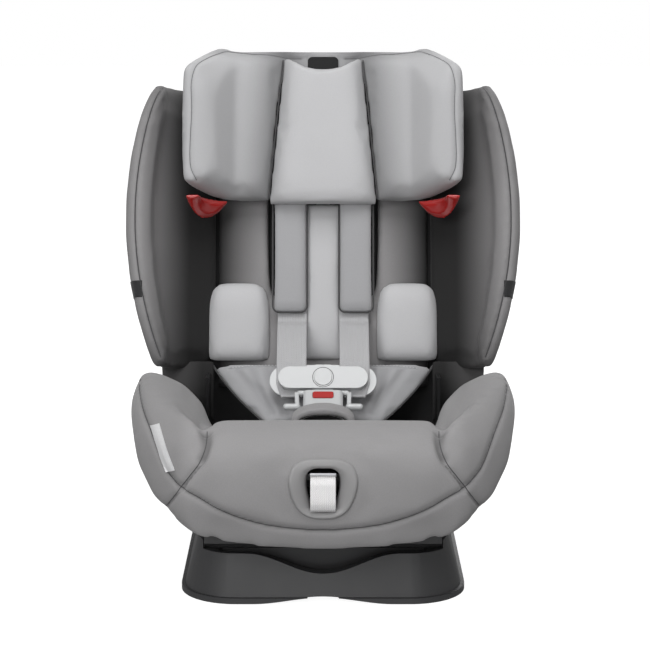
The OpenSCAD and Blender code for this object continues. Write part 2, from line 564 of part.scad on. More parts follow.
// Rear cover: shallow tray behind the back wall
module tray(inset) {
  hull() {
    back_slab(-rear_deep + 14 + inset, -wall - seat_gap) back_outline_low(146 - inset, back_len
        + 12 - inset, 90 - inset);
    back_slab(-rear_deep + inset, -rear_deep + inset + 0.1) back_outline_low(132 - inset,
        back_len + 11 - inset, 80 - inset);
  }
}
module rear_cover() color(dark_grey) on_back() difference() {
  tray(0);
  translate([0, -5, 0]) tray(4);
  tray(4);
  // Louvres and the pass of the central strap
  for (h = [90:16:186]) back_slab(-rear_deep - 1, -rear_deep + 6) translate([0, h]) stadium(120, 6);
  back_box(-web_w / 2 - 3, web_w / 2 + 3, -44, 0, 0, 25);
}
module back_outline_low(hw, top, r) { intersection() { back_outline(hw, top, r); translate([-200, 22])
    square([400, 600]); } }

// Headrest: arched frame on a carriage that runs on two rods
head_cx = head_hw - 12 - head_path_r;
head_front = 116;
head_end = head_cx + head_path_r;
head_half = concat([[0, head_plate_d], [head_cx / 2, head_plate_d]], arc([head_cx, head_plate_d
    + head_path_r], head_path_r, -90, 0, 10), [[head_end, head_front]]);
head_path = concat([for (p = rev(head_half)) [-p[0], p[1]]], [for (i = [1:len(head_half) - 1])
    head_half[i]]);
function head_up(x) = head_top - 7 - 0.00118 * pow(max(abs(x) - 128, 0), 2.81);
function head_low(x) = head_bottom + 2 + 0.004 * pow(max(abs(x) - 110, 0), 2);
bar_h = stem_h[0] - 4;
arch_hw = 68;
module head_front_view(grow) {
  polygon(concat([for (i = [-20:20]) let (x = 200 * i / 20) [x, head_up(min(abs(x), head_end)) + grow]],
    [for (i = [20:-1:-20]) let (x = 200 * i / 20) [x, head_low(min(abs(x), head_end))]]));
}
module headrest_frame() color(dark_grey) on_back() difference() {
  intersection() {
    plan(head_bottom - 5, head_top + 5) polygon(ribbon(head_path, head_plate_t));
    back_slab(0, 200) head_front_view(0);
  }
  back_slab(0, 60) translate([0, bar_h - 100]) rounded(2 * arch_hw, 200, 14);
  back_box(-arch_hw, arch_hw, 0, 60, head_bottom - 20, bar_h - 60);
}
module headrest_carriage() color(dark_grey) on_back() difference() {
  union() {
    back_box(-rod_x - 12, rod_x + 12, -30, -20, carriage_h[0], carriage_h[1]);
    for (s = [-1, 1]) translate([s * rod_x, -rod_mid, carriage_h[0]]) cylinder(d = rod_d + 8,
        h = carriage_h[1] - carriage_h[0]);
    back_box(-stem_hw, stem_hw, -22, head_plate_d - head_plate_t / 2 - seat_gap, stem_h[0], stem_h[1]);
    back_box(-stem_hw, stem_hw, -30, -20, carriage_h[0], stem_h[1]);
    translate([0, 33, bolt_h]) rotate([90, 0, 0]) cylinder(r = 9, h = 16);
  }
  for (s = [-1, 1]) translate([s * rod_x, -rod_mid, carriage_h[0] - 1]) cylinder(d = rod_d
      + 2 * bore_gap, h = carriage_h[1] - carriage_h[0] + 2);
  translate([0, 40, bolt_h]) rotate([90, 0, 0]) cylinder(r = 4.5 + bore_gap, h = 40);
  for (s = [-1, 1], f = [0.27, 0.73]) back_slab(-31, -19) translate([s * 34, lerp(carriage_h[0],
      carriage_h[1], f)]) rounded(24, 16, 4);
}
module headrest_guide_rods() color(steel) on_back() for (s = [-1, 1])
  translate([s * rod_x, -rod_mid, rods_h[0] - 3 + seat_gap]) cylinder(d = rod_d,
      h = rods_h[1] - rods_h[0] + 6 - 2 * seat_gap);
head_pitch = head_travel / 11;
module headrest_rack() color(steel) on_back() difference() {
  back_box(-9, 9, rack_d[0], rack_d[1], rods_h[0] - 4 + seat_gap, rods_h[1] + 4 - seat_gap);
  for (i = [0:11]) back_box(-5, 5, rack_d[0] - 1, rack_d[1] + 1, bolt_h - 4.6 + 0.3 - head_pitch * i,
      bolt_h + 4.6 - 0.9 - head_pitch * i);
}
bolt_h = carriage_h[0] + 9;
tab_travel = 10;
bolt_travel = 5;
tab_d = head_plate_d + head_plate_t / 2 + 0.7;
module headrest_release_handle() color(black) on_back() {
  back_slab(tab_d, tab_d + 3) {
    translate([0, bolt_h + 45]) rounded(40, 44, 6);
    translate([-6, bolt_h + 9]) square([12, 20]);
  }
  back_box(-6, 6, -6, tab_d + 3, bolt_h + 9, bolt_h + 16);
  translate([-3, 0, 0]) rotate([90, 0, 90]) linear_extrude(6) difference() {
    polygon([for (q = [[6, 17], [6, -19], [-14, -19], [-14, 17]]) [q[0], bolt_h + q[1]]]);
    polygon([for (q = [[-0.3, -3.4], [-0.3, 3.4], [1.3, 3.4], [1.3, -3.4]]) [-(2 + bolt_travel * q[0])
        + q[1], bolt_h - tab_travel * q[0]]]);
  }
}
module headrest_lock_bolt() color(steel) on_back() {
  translate([0, -rack_d[1] - slide_gap, bolt_h]) rotate([90, 0, 0]) cylinder(r = 4.5,
      h = -rack_d[1] - 14 - slide_gap);
  back_box(-7, 7, -16, -13, bolt_h - 4, bolt_h + 4);
  for (s = [-1, 1]) back_box(s * 5.2 - 1.8, s * 5.2 + 1.8, -13.1, 6, bolt_h - 4, bolt_h + 4);
  translate([0, -2, bolt_h]) rotate([0, 90, 0]) cylinder(r = 2.5, h = 14, center = true);
}

// Headrest upholstery
module headrest_rim_cover() color(fabric_light) on_back() {
  half = [[head_end, head_front - 0.5], for (a = [90:-9:0]) [head_cx + head_path_r * sin(a),
      head_plate_d + head_path_r * (1 - cos(a))],
    [arch_hw + 5, head_plate_d], [arch_hw + 2.5, head_plate_d], [arch_hw + 2, head_plate_d], [stem_hw
        + 3, head_plate_d], [stem_hw + 2, head_plate_d], [0, head_plate_d]];
  path = concat(half, [for (i = [len(half) - 2:-1:0]) [-half[i][0], half[i][1]]]);
  skin([for (i = [0:len(path) - 1]) let (p = path[i], x = p[0], v = normal(path, i),
      g = head_plate_t / 2 + 1, f = head_up(abs(x) - g * abs(v[0])), low = abs(x) > arch_hw
      + 2.2 ? head_low(x) + 0.5 : abs(x) < stem_hw + 2.2 ? stem_h[1] + 2 : bar_h + 2,
    e = (i == 0 || i == len(path) - 1) ? 0.45 : 1)
    [for (q = [[g, low], [g + 6.5 * e, low + 1], [g + 9 * e, lerp(low, f, 0.25)], [g + 9.3 * e,
        lerp(low, f, 0.6)], [g + 8 * e, f - 3], [g + 3 * e, f + 5 * e + 0.6], [0, f + 6.4 * e + 0.4],
      [0.6 - g, f + 3.6 * e + 1.6], [0.6 - g, f + 1.6], [g, f + 1.6]])
      [p[0] + v[0] * q[0], -(p[1] + v[1] * q[0]), q[1]]]]);
}
function pad_half(h) = lerp(71, 50, (h - 277) / 207);
module headrest_center_pad() color(fabric_light) on_back() difference() {
  skin([for (h = [277, 280, 288, 310, 345, 380, 415, 445, 465, 476, 480]) let (w = pad_half(h) - 0.6,
    k = lookup(h, [[277, 0.45], [280, 0.7], [288, 0.95], [310, 1], [445, 1], [465, 0.95], [476, 0.7],
        [480, 0.4]]))
    [for (q = concat([[-w, tab_d], [w, tab_d]], [for (i = [6:-1:-6]) let (s = i / 6) [w * s, tab_d
        + head_pad_t * k * (0.45 + 0.55 * pow(1 - pow(abs(s), 4), 0.5))]])) [q[0], -q[1], h]]]);
  back_box(-22, 22, tab_d - 2, tab_d + 3 + slide_gap, 404, 500);
  back_slab(40, 100) translate([0, head_top + 56]) circle(86, $fn = 96);
}
function head_stop(h) = min(h > 300 ? 128 + pow(max(head_top - 6 - h, 0.1) / 0.00118, 1 / 2.81) : 300,
    h < 302 ? 110 + sqrt(max(h - head_bottom + 0.5, 0.1) / 0.004) : 300);
function wing_base(h) = let (xs = pad_half(h) + 0.6, a = asin(clamp((head_stop(h) - head_cx)
    / head_path_r, 0.2, 1)))
  concat([[xs, head_plate_d], [lerp(xs, head_cx, 0.5), head_plate_d]],
    [for (i = [0:7]) let (b = a * i / 7) [head_cx + head_path_r * sin(b), head_plate_d
        + head_path_r * (1 - cos(b))]],
    [[head_cx + head_path_r * sin(a), head_plate_d + head_path_r * (1 - cos(a))]
      + [cos(a), sin(a)] * (a > 89 ? head_front - head_plate_d - head_path_r + 2 : 2)]);
module headrest_wing_pad() on_back() {
  skin([for (h = [281, 284, 292, 305, 330, 360, 390, 415, 440, 458, 470, 476]) let (p = wing_base(h),
      m = len(p) - 1,
    k = lookup(h, [[281, 0.4], [284, 0.65], [292, 0.9], [305, 1], [440, 1], [458, 0.92], [470, 0.7],
        [476, 0.45]]))
    [for (q = concat(shifted(p, head_plate_t / 2 + 0.7), rev([for (i = [0:m]) p[i] + normal(p, i)
        * (head_plate_t / 2 + 0.7 + k * (7 + 13 * pow(1 - pow(abs(2 * i / m - 1), 4), 0.5)))])))
      [q[0], -q[1], h]]]);
}
module headrest_wing_pad_right() color(fabric_light) headrest_wing_pad();
module headrest_wing_pad_left() color(fabric_light) left() headrest_wing_pad();
module side_guard() on_back() {
  skin([for (i = [0:9]) let (s = i / 9, a = lerp(24, 89, s), x = head_cx + head_path_r * sin(a),
      c = [head_cx, head_plate_d + head_path_r],
    top = min(head_low(x), head_bottom + 0.2) - 0.3, low = top - 5 - 20 * sin(180 * pow(s, 0.8)))
    [for (q = [[head_path_r + 3, top], [head_path_r + 3.5, lerp(top, low, 0.6)], [head_path_r - 1,
        low], [head_path_r - 9, lerp(top, low, 0.75)], [head_path_r - 15, lerp(top, low, 0.3)],
        [head_path_r - 14, top]])
      [c[0] + q[0] * sin(a), -(c[1] - q[0] * cos(a)), q[1]]]]);
}
module side_guard_right() color(red) side_guard();
module side_guard_left() color(red) left() side_guard();

// Harness
clip_v = [sin(clip_lean), cos(clip_lean)];
strap_low = clip_c - 22 * clip_v;
strap_route = concat([[-4.1, 205.9], [-0.6, 203.3], strap_low + 3 * clip_v, clip_c + 22 * clip_v,
    clip_c + 27 * clip_v + [1, -0.5], [58, 263], [84, 277]],
  [for (h = [132, 170, 220, 270]) bk(strap_d, h)],
  [for (a = [0:15:180]) bk((strap_d + strap_rear_d) / 2 + (strap_d - strap_rear_d) / 2 * cos(a),
      strap_turn_h + (strap_d - strap_rear_d) / 2 * sin(a))],
  [bk(strap_rear_d, 250), bk(strap_rear_d, splitter_h + 11)]);
module harness_strap(s) { side(s * strap_x - web_w / 2, s * strap_x + web_w / 2)
    polygon(ribbon(strap_route, web_t)); }
module harness_strap_right() color(web_grey) harness_strap(1);
module harness_strap_left() color(web_grey) harness_strap(-1);
pad_d = strap_d + web_t / 2 + seat_gap;
module shoulder_pad() on_back() {
  skin([for (h = [138, 141, 150, 180, 220, 260, 288, 294, 297]) let (k = lookup(h, [[138, 0.4], [141,
      0.7], [150, 1], [288, 1], [294, 0.7], [297, 0.4]]), w = 22.5)
    [for (q = concat([[-w, pad_d], [w, pad_d]], [for (i = [4:-1:-4]) let (s = i / 4) [w * s, pad_d
        + 10.5 * k * (0.35 + 0.65 * pow(1 - pow(abs(s), 4), 0.5))]])) [q[0] + 43, -q[1], h]]]);
}
module shoulder_pad_right() color(fabric_light) shoulder_pad();
module shoulder_pad_left() color(fabric_light) left() shoulder_pad();
module splitter_plate() color(steel) on_back() back_slab(strap_rear_d - 1.5, strap_rear_d + 1.5)
    difference() {
  translate([0, splitter_h]) rounded(124, 21, 6);
  for (s = [-1, 1]) translate([s * strap_x, splitter_h + 4]) rounded(web_w, 3, 1);
  translate([0, splitter_h - 5]) rounded(web_w, 3, 1);
}
central_route = concat([bk(strap_rear_d, splitter_h - 11), bk(strap_rear_d, 60), bk(strap_rear_d, 24),
    bk(strap_rear_d - 0.6, 8)],
  [[106, 142], [100, 135], [92, 132.2], [70, 131.5], [0, 131.8], [-80, 133], [-150, 148],
    [-207, bezel[1] + 4]]);
module central_strap() color(web_grey) side(-web_w / 2, web_w / 2) polygon(ribbon(central_route, web_t));

// Chest clip: back plate behind the straps, body in front
module on_clip() { translate([0, clip_c[0], clip_c[1]]) rotate([-clip_lean, 0, 0]) children(); }
module clip_slab(y0, y1) { translate([0, y1, 0]) rotate([90, 0, 0]) linear_extrude(y1 - y0) children(); }
clip_gap = web_t / 2 + 0.6;
module chest_clip_back() color(clip_white) on_clip() clip_slab(clip_gap, clip_gap + 3.5)
    stadium(clip_w, clip_h);
module chest_clip_body() color(clip_white) on_clip() difference() {
  union() {
    clip_slab(-clip_gap - 9, -clip_gap) stadium(clip_w - 22, clip_h - 13);
    clip_slab(-clip_gap - 5, clip_gap - 0.1) rounded(26, clip_h - 5, 5);
  }
  clip_slab(-clip_gap - 10, -clip_gap - 3) circle(d = clip_button_d + 2 * slide_gap);
  clip_slab(-clip_gap - 6, clip_gap) translate([0, clip_h / 2]) square([0.9, 9], center = true);
}
module chest_clip_button() color(clip_white) on_clip() clip_slab(-clip_gap - 10, -clip_gap - 3 - 3)
    circle(d = clip_button_d);

// Buckle, crotch strap and its padded sleeve
module on_buckle() { translate([0, buckle_c[0], buckle_c[1]]) rotate([buckle_lean - 90, 0, 0])
    children(); }
button_z = [21, 32];
module buckle_housing() color(clip_white) on_buckle() difference() {
  linear_extrude(buckle_len) rounded(buckle_w, buckle_t, 6);
  translate([0, 0, -1]) linear_extrude(9) square([web_w + 2, web_t + 1], center = true);
  translate([0, 0, buckle_len - 9]) linear_extrude(10) square([buckle_w - 8, 3.4], center = true);
  clip_slab(-buckle_t, -buckle_t / 2 + 5) translate([0, (button_z[0] + button_z[1]) / 2]) rounded(26
      + 2 * slide_gap, button_z[1] - button_z[0] + 2 * slide_gap, 3);
}
module buckle_button() color(red) on_buckle()
  clip_slab(-buckle_t / 2 - 1.2, -buckle_t / 2 + 2) translate([0, (button_z[0] + button_z[1]) / 2])
      rounded(26, button_z[1] - button_z[0], 2.6);
module buckle_tongue() on_buckle() {
  translate([1, -1.2, buckle_len - 8.6]) cube([buckle_w / 2 - 6, 2.4, 14]);
  translate([0, 0, buckle_len + 3.6]) capsule(3.4, 1, 33);
  translate([29.4, -2.6, 15]) rotate([0, 2, 0]) linear_extrude(buckle_len - 12) rounded_at(5.6, 5.6, 1.4);
  translate([0, 0.4, 15]) capsule(4.2, buckle_w / 2 + 3, buckle_w / 2 + 25);
}
module buckle_tongue_right() color(clip_white) buckle_tongue();
module buckle_tongue_left() color(clip_white) left() buckle_tongue();
module crotch_strap() color(web_grey) side(-web_w / 2, web_w / 2)
  polygon(ribbon([[crotch_y, 137.6], [crotch_y, 180], [crotch_y + 1, 184], [crotch_y + 4, 186.6],
      [crotch_y + 9, 187.6],
    buckle_c + [-5, -2], buckle_c + [-2, -1], buckle_c + 6 * [cos(buckle_lean), sin(buckle_lean)]],
        web_t));
module crotch_anchor() color(steel) translate([0, crotch_y, 137.2]) linear_extrude(3) difference() {
  translate([0, 1]) rounded(64, 26, 5);
  square([web_w + 1, web_t + 0.8], center = true);
  for (s = [-1, 1]) translate([s * 26, 1]) circle(2.6);
}
sleeve = [39, 18];
sleeve_z = 190.5;
module crotch_pad() color(fabric_light) difference() {
  skin([for (q = [[-80, 0.94], [-78.5, 0.98], [-74, 1], [-63, 1.01], [-52, 1], [-48, 0.98], [-46.5,
      0.94]])
    [for (i = [0:31]) let (a = i * 360 / 32) [sleeve[0] * q[1] * cos(a), q[0], sleeve_z
        + sleeve[1] * q[1] * sin(a)]]]);
  front(-90, -40) polygon([for (i = [0:31]) let (a = i * 360 / 32) [(sleeve[0] - 9.5) * cos(a),
      sleeve_z + (sleeve[1] - 9) * sin(a)]]);
  translate([-web_w / 2 - 1.5, crotch_y - 4, 160]) cube([web_w + 3, 8, 26]);
  // Flat underside on the cushion
  side(-60, 60) polygon([[-120, 100], for (y = [-120, -60]) [y, pan_z(y) + cushion_t + 0.4], [-20,
      pan_z(-20) + cushion_t - 2.6], [-20, 100]]);
}

// Harness adjuster in the nose
module bezel_shape() { polygon([for (i = [0:39]) let (a = i * 9) [bezel_w / 2 * cos(a) * (1
    + 0.1 * sin(a)), bezel_t / 2 * sin(a)]]); }
module bezel_hole() {
  hull() {
    for (s = [-1, 1]) translate([s * 10, 8]) circle(13, $fn = 32);
    for (s = [-1, 1]) translate([s * 10, -15]) circle(5, $fn = 32);
  }
}
module adjuster_bezel() color(dark_grey) difference() {
  union() {
    front(-276.5, -272.9) translate(bezel) bezel_shape();
    front(-273, -250.6) translate(bezel) scale(0.88) bezel_shape();
  }
  front(-300, -240) translate(bezel) bezel_hole();
}
lever_c = [-222, bezel[1] + 12];
module adjuster_housing() color(steel) difference() {
  union() {
    front(-242.4, -240) translate([0, bezel[1] - 7]) rounded(84, 36, 8);
    for (s = [-1, 1]) translate([s * 25.5 - 1.5, -242, bezel[1] - 18]) cube([3, 36, 36]);
    translate([-27, -242, bezel[1] - 18]) cube([54, 36, 3]);
  }
  front(-250, -238) translate(bezel) rounded(48, 36, 8);
  translate([0, lever_c[0], lever_c[1]]) rotate([0, 90, 0]) cylinder(r = 3 + bore_gap, h = 80,
      center = true);
}
module adjuster_pin() color(steel) translate([0, lever_c[0], lever_c[1]]) rotate([0, 90, 0])
    cylinder(r = 3, h = 54, center = true);
module adjuster_lever() color(black) difference() {
  union() {
    translate([-20, lever_c[0], lever_c[1]]) rotate([0, 90, 0]) cylinder(r = 6, h = 40);
    translate([-15, lever_c[0] - 38, lever_c[1] + 0.5]) cube([30, 38, 4]);
  }
  translate([0, lever_c[0], lever_c[1]]) rotate([0, 90, 0]) cylinder(r = 3 + bore_gap, h = 80,
      center = true);
}
tail_w = 29;
tail_path = concat([[-207.5, bezel[1] + 3.4], [-235, bezel[1] - 0.5], [-262, bezel[1] - 4.5]],
  arc([-266, bezel[1] - 18.5], 13.5, 80, 180, 6), [[-279.6, bezel[1] - 32]]);
module adjuster_strap() color("#e8e6e7") side(-tail_w / 2, tail_w / 2) polygon(ribbon(tail_path, web_t));

base_housing();
base_foot_pads();
recline_rail_left();
recline_rail_right();
recline_rack();
rocker_housing();
guide_shoes();
recline_handle();
recline_lock_pin();
seat_pan();
back_wall();
hip_plates();
side_panels();
wing_shell_left();
wing_shell_right();
rear_cover();
seat_cushion();
nose_pad();
bolster_left();
bolster_right();
wing_cover_left();
wing_cover_right();
back_pad();
insert_side_pad_left();
insert_side_pad_right();
insert_seat_pad();
insert_center_panel();
headrest_guide_rods();
headrest_rack();
headrest_carriage();
headrest_frame();
headrest_rim_cover();
headrest_center_pad();
headrest_wing_pad_left();
headrest_wing_pad_right();
side_guard_left();
side_guard_right();
headrest_release_handle();
headrest_lock_bolt();
harness_strap_left();
harness_strap_right();
shoulder_pad_left();
shoulder_pad_right();
splitter_plate();
central_strap();
chest_clip_body();
chest_clip_back();
chest_clip_button();
crotch_strap();
crotch_anchor();
crotch_pad();
buckle_housing();
buckle_button();
buckle_tongue_left();
buckle_tongue_right();
adjuster_bezel();
adjuster_housing();
adjuster_lever();
adjuster_pin();
adjuster_strap();
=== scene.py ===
# %% [markdown]
# A convertible child car seat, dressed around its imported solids. The hard pieces are already right, so
# they keep their meshes and get finishes. Everything sewn is made again here: pads are remeshed, blown up
# like foam under a tight cover, and then sewn.

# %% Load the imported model
import math

import bmesh
import bpy
import numpy as np
from mathutils import Vector, Matrix
from mathutils.bvhtree import BVHTree
from mathutils.kdtree import KDTree


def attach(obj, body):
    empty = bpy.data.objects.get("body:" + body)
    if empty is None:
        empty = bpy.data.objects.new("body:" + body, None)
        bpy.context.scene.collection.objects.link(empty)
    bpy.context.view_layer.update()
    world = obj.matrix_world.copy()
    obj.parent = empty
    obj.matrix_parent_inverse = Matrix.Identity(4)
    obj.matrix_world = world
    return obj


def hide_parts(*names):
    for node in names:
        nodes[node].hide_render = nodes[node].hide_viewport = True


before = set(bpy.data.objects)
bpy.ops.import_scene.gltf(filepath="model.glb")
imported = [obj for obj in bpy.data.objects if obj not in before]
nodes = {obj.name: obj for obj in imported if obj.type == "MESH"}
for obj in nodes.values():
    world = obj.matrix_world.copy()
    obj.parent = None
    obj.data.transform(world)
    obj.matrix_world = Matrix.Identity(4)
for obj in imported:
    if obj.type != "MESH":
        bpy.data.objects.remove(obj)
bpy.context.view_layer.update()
scene = bpy.context.scene

# %% [markdown]
# The camera comes first, because every later choice is judged through it. The picture is taken from the
# front, a little above the seat, with a long lens, so near and far pieces keep about the same scale.

# %% Camera
MM = 0.001
AIM = Vector((0.0, 0.0, 0.296))
CAMERA_AWAY = 2.6
CAMERA_LIFT = math.radians(11)
LENS = 115.2


def place_camera():
    data = bpy.data.cameras.new("camera")
    data.lens = LENS
    data.sensor_width = 36
    data.shift_x = 0.003
    camera = bpy.data.objects.new("camera", data)
    scene.collection.objects.link(camera)
    camera.location = AIM + CAMERA_AWAY * Vector((0, -math.cos(CAMERA_LIFT), math.sin(CAMERA_LIFT)))
    camera.rotation_euler = (math.pi / 2 - CAMERA_LIFT, 0, 0)
    scene.camera = camera
    return camera


camera = place_camera()
print("camera at", [round(v, 3) for v in camera.location])

# %% [markdown]
# Finishes are written as sums. A small class wraps a socket, so that `1 - mask` or `weave * 0.3` adds the
# Math nodes by itself, and one method adds any other node from its settings and inputs.

# %% Shader arithmetic


class Wire:
    """An output socket that understands arithmetic."""

    def __init__(self, finish, socket):
        self.finish = finish
        self.socket = socket

    def math(self, operation, *values):
        return self.finish.add("ShaderNodeMath", {"operation": operation}, *values)

    def alone(self, operation):
        return self.math(operation, self)

    def __add__(self, other):
        return self.math("ADD", self, other)

    def __sub__(self, other):
        return self.math("SUBTRACT", self, other)

    def __rsub__(self, other):
        return self.math("SUBTRACT", other, self)

    def __mul__(self, other):
        return self.math("MULTIPLY", self, other)

    def __pow__(self, other):
        return self.math("POWER", self, other)

    __radd__ = __add__
    __rmul__ = __mul__


class Finish:
    """One material: a Principled shader and what feeds it."""

    def __init__(self, name, **constants):
        self.material = bpy.data.materials.new(name)
        self.material.use_nodes = True
        self.tree = self.material.node_tree
        self.shader = self.tree.nodes["Principled BSDF"]
        for key, value in constants.items():
            self.shader.inputs[key.replace("_", " ").title().replace("Ior", "IOR")].default_value = value

    def add(self, kind, settings=None, *values, out=0, **named):
        node = self.tree.nodes.new(kind)
        for key, value in (settings or {}).items():
            setattr(node, key, value)
        for socket, value in list(enumerate(values)) + list(named.items()):
            self.feed(node.inputs[socket], value)
        return Wire(self, node.outputs[out])

    def feed(self, target, value):
        if isinstance(value, Wire):
            self.tree.links.new(value.socket, target)
        elif value is not None:
            target.default_value = value

    def mix(self, factor, a, b):
        node = self.tree.nodes.new("ShaderNodeMix")
        node.data_type = "RGBA"
        self.feed(node.inputs[0], factor)
        for socket, tone in ((node.inputs[6], a), (node.inputs[7], b)):
            self.feed(socket, (*tone, 1) if isinstance(tone, tuple) and len(tone) == 3 else tone)
        return Wire(self, node.outputs[2])

    def place(self, output="Object"):
        node = self.tree.nodes.new("ShaderNodeTexCoord")
        return Wire(self, node.outputs[output])

    def split(self, vector):
        node = self.tree.nodes.new("ShaderNodeSeparateXYZ")
        self.feed(node.inputs[0], vector)
        return [Wire(self, s) for s in node.outputs]

    def noise(self, scale, detail=2, roughness=0.5, stretch=None):
        spot = self.place()
        if stretch:
            spot = self.add("ShaderNodeMapping", None, spot, Scale=stretch)
        return self.add("ShaderNodeTexNoise", None, Vector=spot, Scale=scale, Detail=detail, Roughness=roughness)

    def attribute(self, name):
        return self.add("ShaderNodeAttribute", {"attribute_name": name}, out=2)

    def bump(self, height, strength, distance):
        return self.add("ShaderNodeBump", None, Strength=strength, Distance=distance, Height=height)

    def finish(self, color=None, roughness=None, normal=None):
        for name, value in (("Base Color", color), ("Roughness", roughness), ("Normal", normal)):
            if value is not None:
                self.feed(self.shader.inputs[name], value)
        return self.material


def times(tone, factor):
    """A lighter or darker tone of a colour."""
    return tuple(c * factor for c in tone)


print("shader arithmetic ready")

# %% [markdown]
# Cover fabric is a fine plain weave of mixed yarns. The weave has to run along whichever way the surface
# faces, so three sine weaves are blended by the surface normal. The colour is a melange of two yarns, and
# two vertex attributes darken it: one along the seams, which also paints shade into a few creases, and one
# that is painted shade on the covers, strongest deep in the corners of the seat.

# %% Cover fabric
WEAVE = 2 * math.pi / (1.5 * MM)
CLOTH_ROUGH = 0.86


def weave_height(f, pitch=WEAVE):
    x, y, z = f.split(f.place())
    wx, wy, wz = [(value * pitch).alone("SINE") for value in (x, y, z)]
    nx, ny, nz = [n.alone("ABSOLUTE") ** 3 for n in f.split(f.place("Normal"))]
    return wy * wz * nx + wx * wz * ny + wx * wy * nz


def cover_fabric(name, tone, contrast=0.16, sheen=0.25):
    f = Finish(name, sheen_weight=sheen, sheen_roughness=0.45, specular_ior_level=0.25)
    yarn = f.noise(950, 2, 0.7)
    cloud = f.noise(9, 3)
    melange = yarn * 0.75 + cloud * 0.5 - 0.125
    color = f.mix(melange, times(tone, 1 - contrast), times(tone, 1 + contrast))
    # darker along the seams; where the mark is wide and soft it is painted shade in a crease
    color = f.mix(f.attribute("seam_and_crease_shade") * 0.72, color, times(tone, 0.18))
    # painted shade: a vertex attribute darkens the colour towards black where shade is painted
    color = f.mix(f.attribute("painted_shade"), color, times(tone, 0.06))
    wrinkle = f.noise(55, 2, 0.55)
    height = weave_height(f) * 0.35 + yarn * 0.5 + wrinkle * 1.6
    return f.finish(color, yarn * 0.1 + (CLOTH_ROUGH - 0.05), f.bump(height, 0.35, 0.0006))


GREY = cover_fabric("grey_cover", (0.275, 0.270, 0.273))
DARK = cover_fabric("dark_cover", (0.275, 0.269, 0.272), contrast=0.14, sheen=0.06)
LIGHT = cover_fabric("light_cover", (0.50, 0.50, 0.51), contrast=0.1, sheen=0.2)
PALE = cover_fabric("insert_cover", (0.50, 0.50, 0.51), contrast=0.1, sheen=0.2)
# painted shade: the insert fabric made darker, for the insert's lower pad, which lies in shade; the shoulder pads
# use it too
PALE_SHADED = cover_fabric("insert_cover_shaded", (0.36, 0.36, 0.37), contrast=0.1, sheen=0.2)
print("fabrics:", [m.name for m in (GREY, DARK, LIGHT, PALE, PALE_SHADED)])

# %% [markdown]
# Webbing is a heavy twill with ribs along its length. It reads the strap's own UV map, with both
# coordinates in metres, so the ribs follow every bend.

# %% Webbing
RIB = 2.1 * MM


def webbing_finish(name, tone):
    f = Finish(name, sheen_weight=0.15, specular_ior_level=0.35)
    across, along, _ = f.split(f.place("UV"))
    ribs = (across * (2 * math.pi / RIB)).alone("SINE")
    twill = (across * 2400 + along * 2100).alone("SINE")
    yarn = f.noise(1100, 2)
    color = f.mix(twill * 0.18 + ribs * 0.12 + yarn * 0.5 + 0.2, times(tone, 0.78), tone)
    return f.finish(color, yarn * 0.15 + 0.6, f.bump(ribs * 0.6 + twill * 0.4, 0.5, 0.0005))


WEBBING = webbing_finish("harness_webbing", (0.47, 0.47, 0.48))
TAIL = webbing_finish("adjuster_webbing", (0.86, 0.85, 0.855))
print("webbings:", WEBBING.name, TAIL.name)

# %% [markdown]
# Hard finishes. Moulded plastic has a fine spark-eroded grain and slightly shinier patches where hands
# and cloth have rubbed it. Metal is brushed along its length.

# %% Plastics and metals
GRAIN = 1400


def moulded(name, tone, rough=0.5, grain=0.35, coat=0.0, gloss=0.45):
    f = Finish(name, coat_weight=coat, coat_roughness=0.12, specular_ior_level=gloss)
    grains = f.noise(GRAIN, 2, 0.6)
    rubbed = f.noise(14, 3)
    color = f.mix(grains * 0.3 + rubbed * 0.5, times(tone, 0.86), times(tone, 1.12))
    return f.finish(color, rubbed * 0.16 + (rough - 0.08), f.bump(grains, grain, 0.0003))


def brushed(name, tone, rough=0.32):
    f = Finish(name, metallic=1.0)
    lines = f.noise(700, 3, 0.6, stretch=(0.05, 1, 1))
    color = f.mix(lines, times(tone, 0.8), tone)
    return f.finish(color, lines * 0.2 + (rough - 0.1), f.bump(lines, 0.12, 0.0002))


BASE = moulded("base_plastic", (0.050, 0.050, 0.052), rough=0.48)
# painted shade: a darker, duller copy of the black shell plastic than the rear cover's, so the hips read as deep
# shadow
SHELL_SHADED = moulded("shell_plastic_shaded", (0.010, 0.010, 0.0105), rough=0.6, gloss=0.2)
REAR = moulded("rear_plastic", (0.040, 0.040, 0.041), rough=0.5)
BLACK = moulded("black_plastic", (0.007, 0.007, 0.0075), rough=0.5, grain=0.2, gloss=0.2)
BEZEL = moulded("bezel_plastic", (0.275, 0.271, 0.273), rough=0.46, grain=0.3)
WHITE = moulded("white_plastic", (0.54, 0.55, 0.555), rough=0.3, grain=0.06, coat=0.2)
RED = moulded("red_gloss", (0.42, 0.012, 0.010), rough=0.16, grain=0.02, coat=0.8)
RUBBER = moulded("foot_rubber", (0.014, 0.014, 0.015), rough=0.8, grain=0.5)
STEEL = brushed("brushed_steel", (0.56, 0.57, 0.59))
CHROME = brushed("bright_steel", (0.66, 0.67, 0.69), rough=0.18)
print(len(bpy.data.materials), "materials so far")

# %% [markdown]
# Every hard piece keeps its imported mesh. A Weld joins the loose triangles and a small Bevel catches the
# light on the edges, as a moulded radius does.

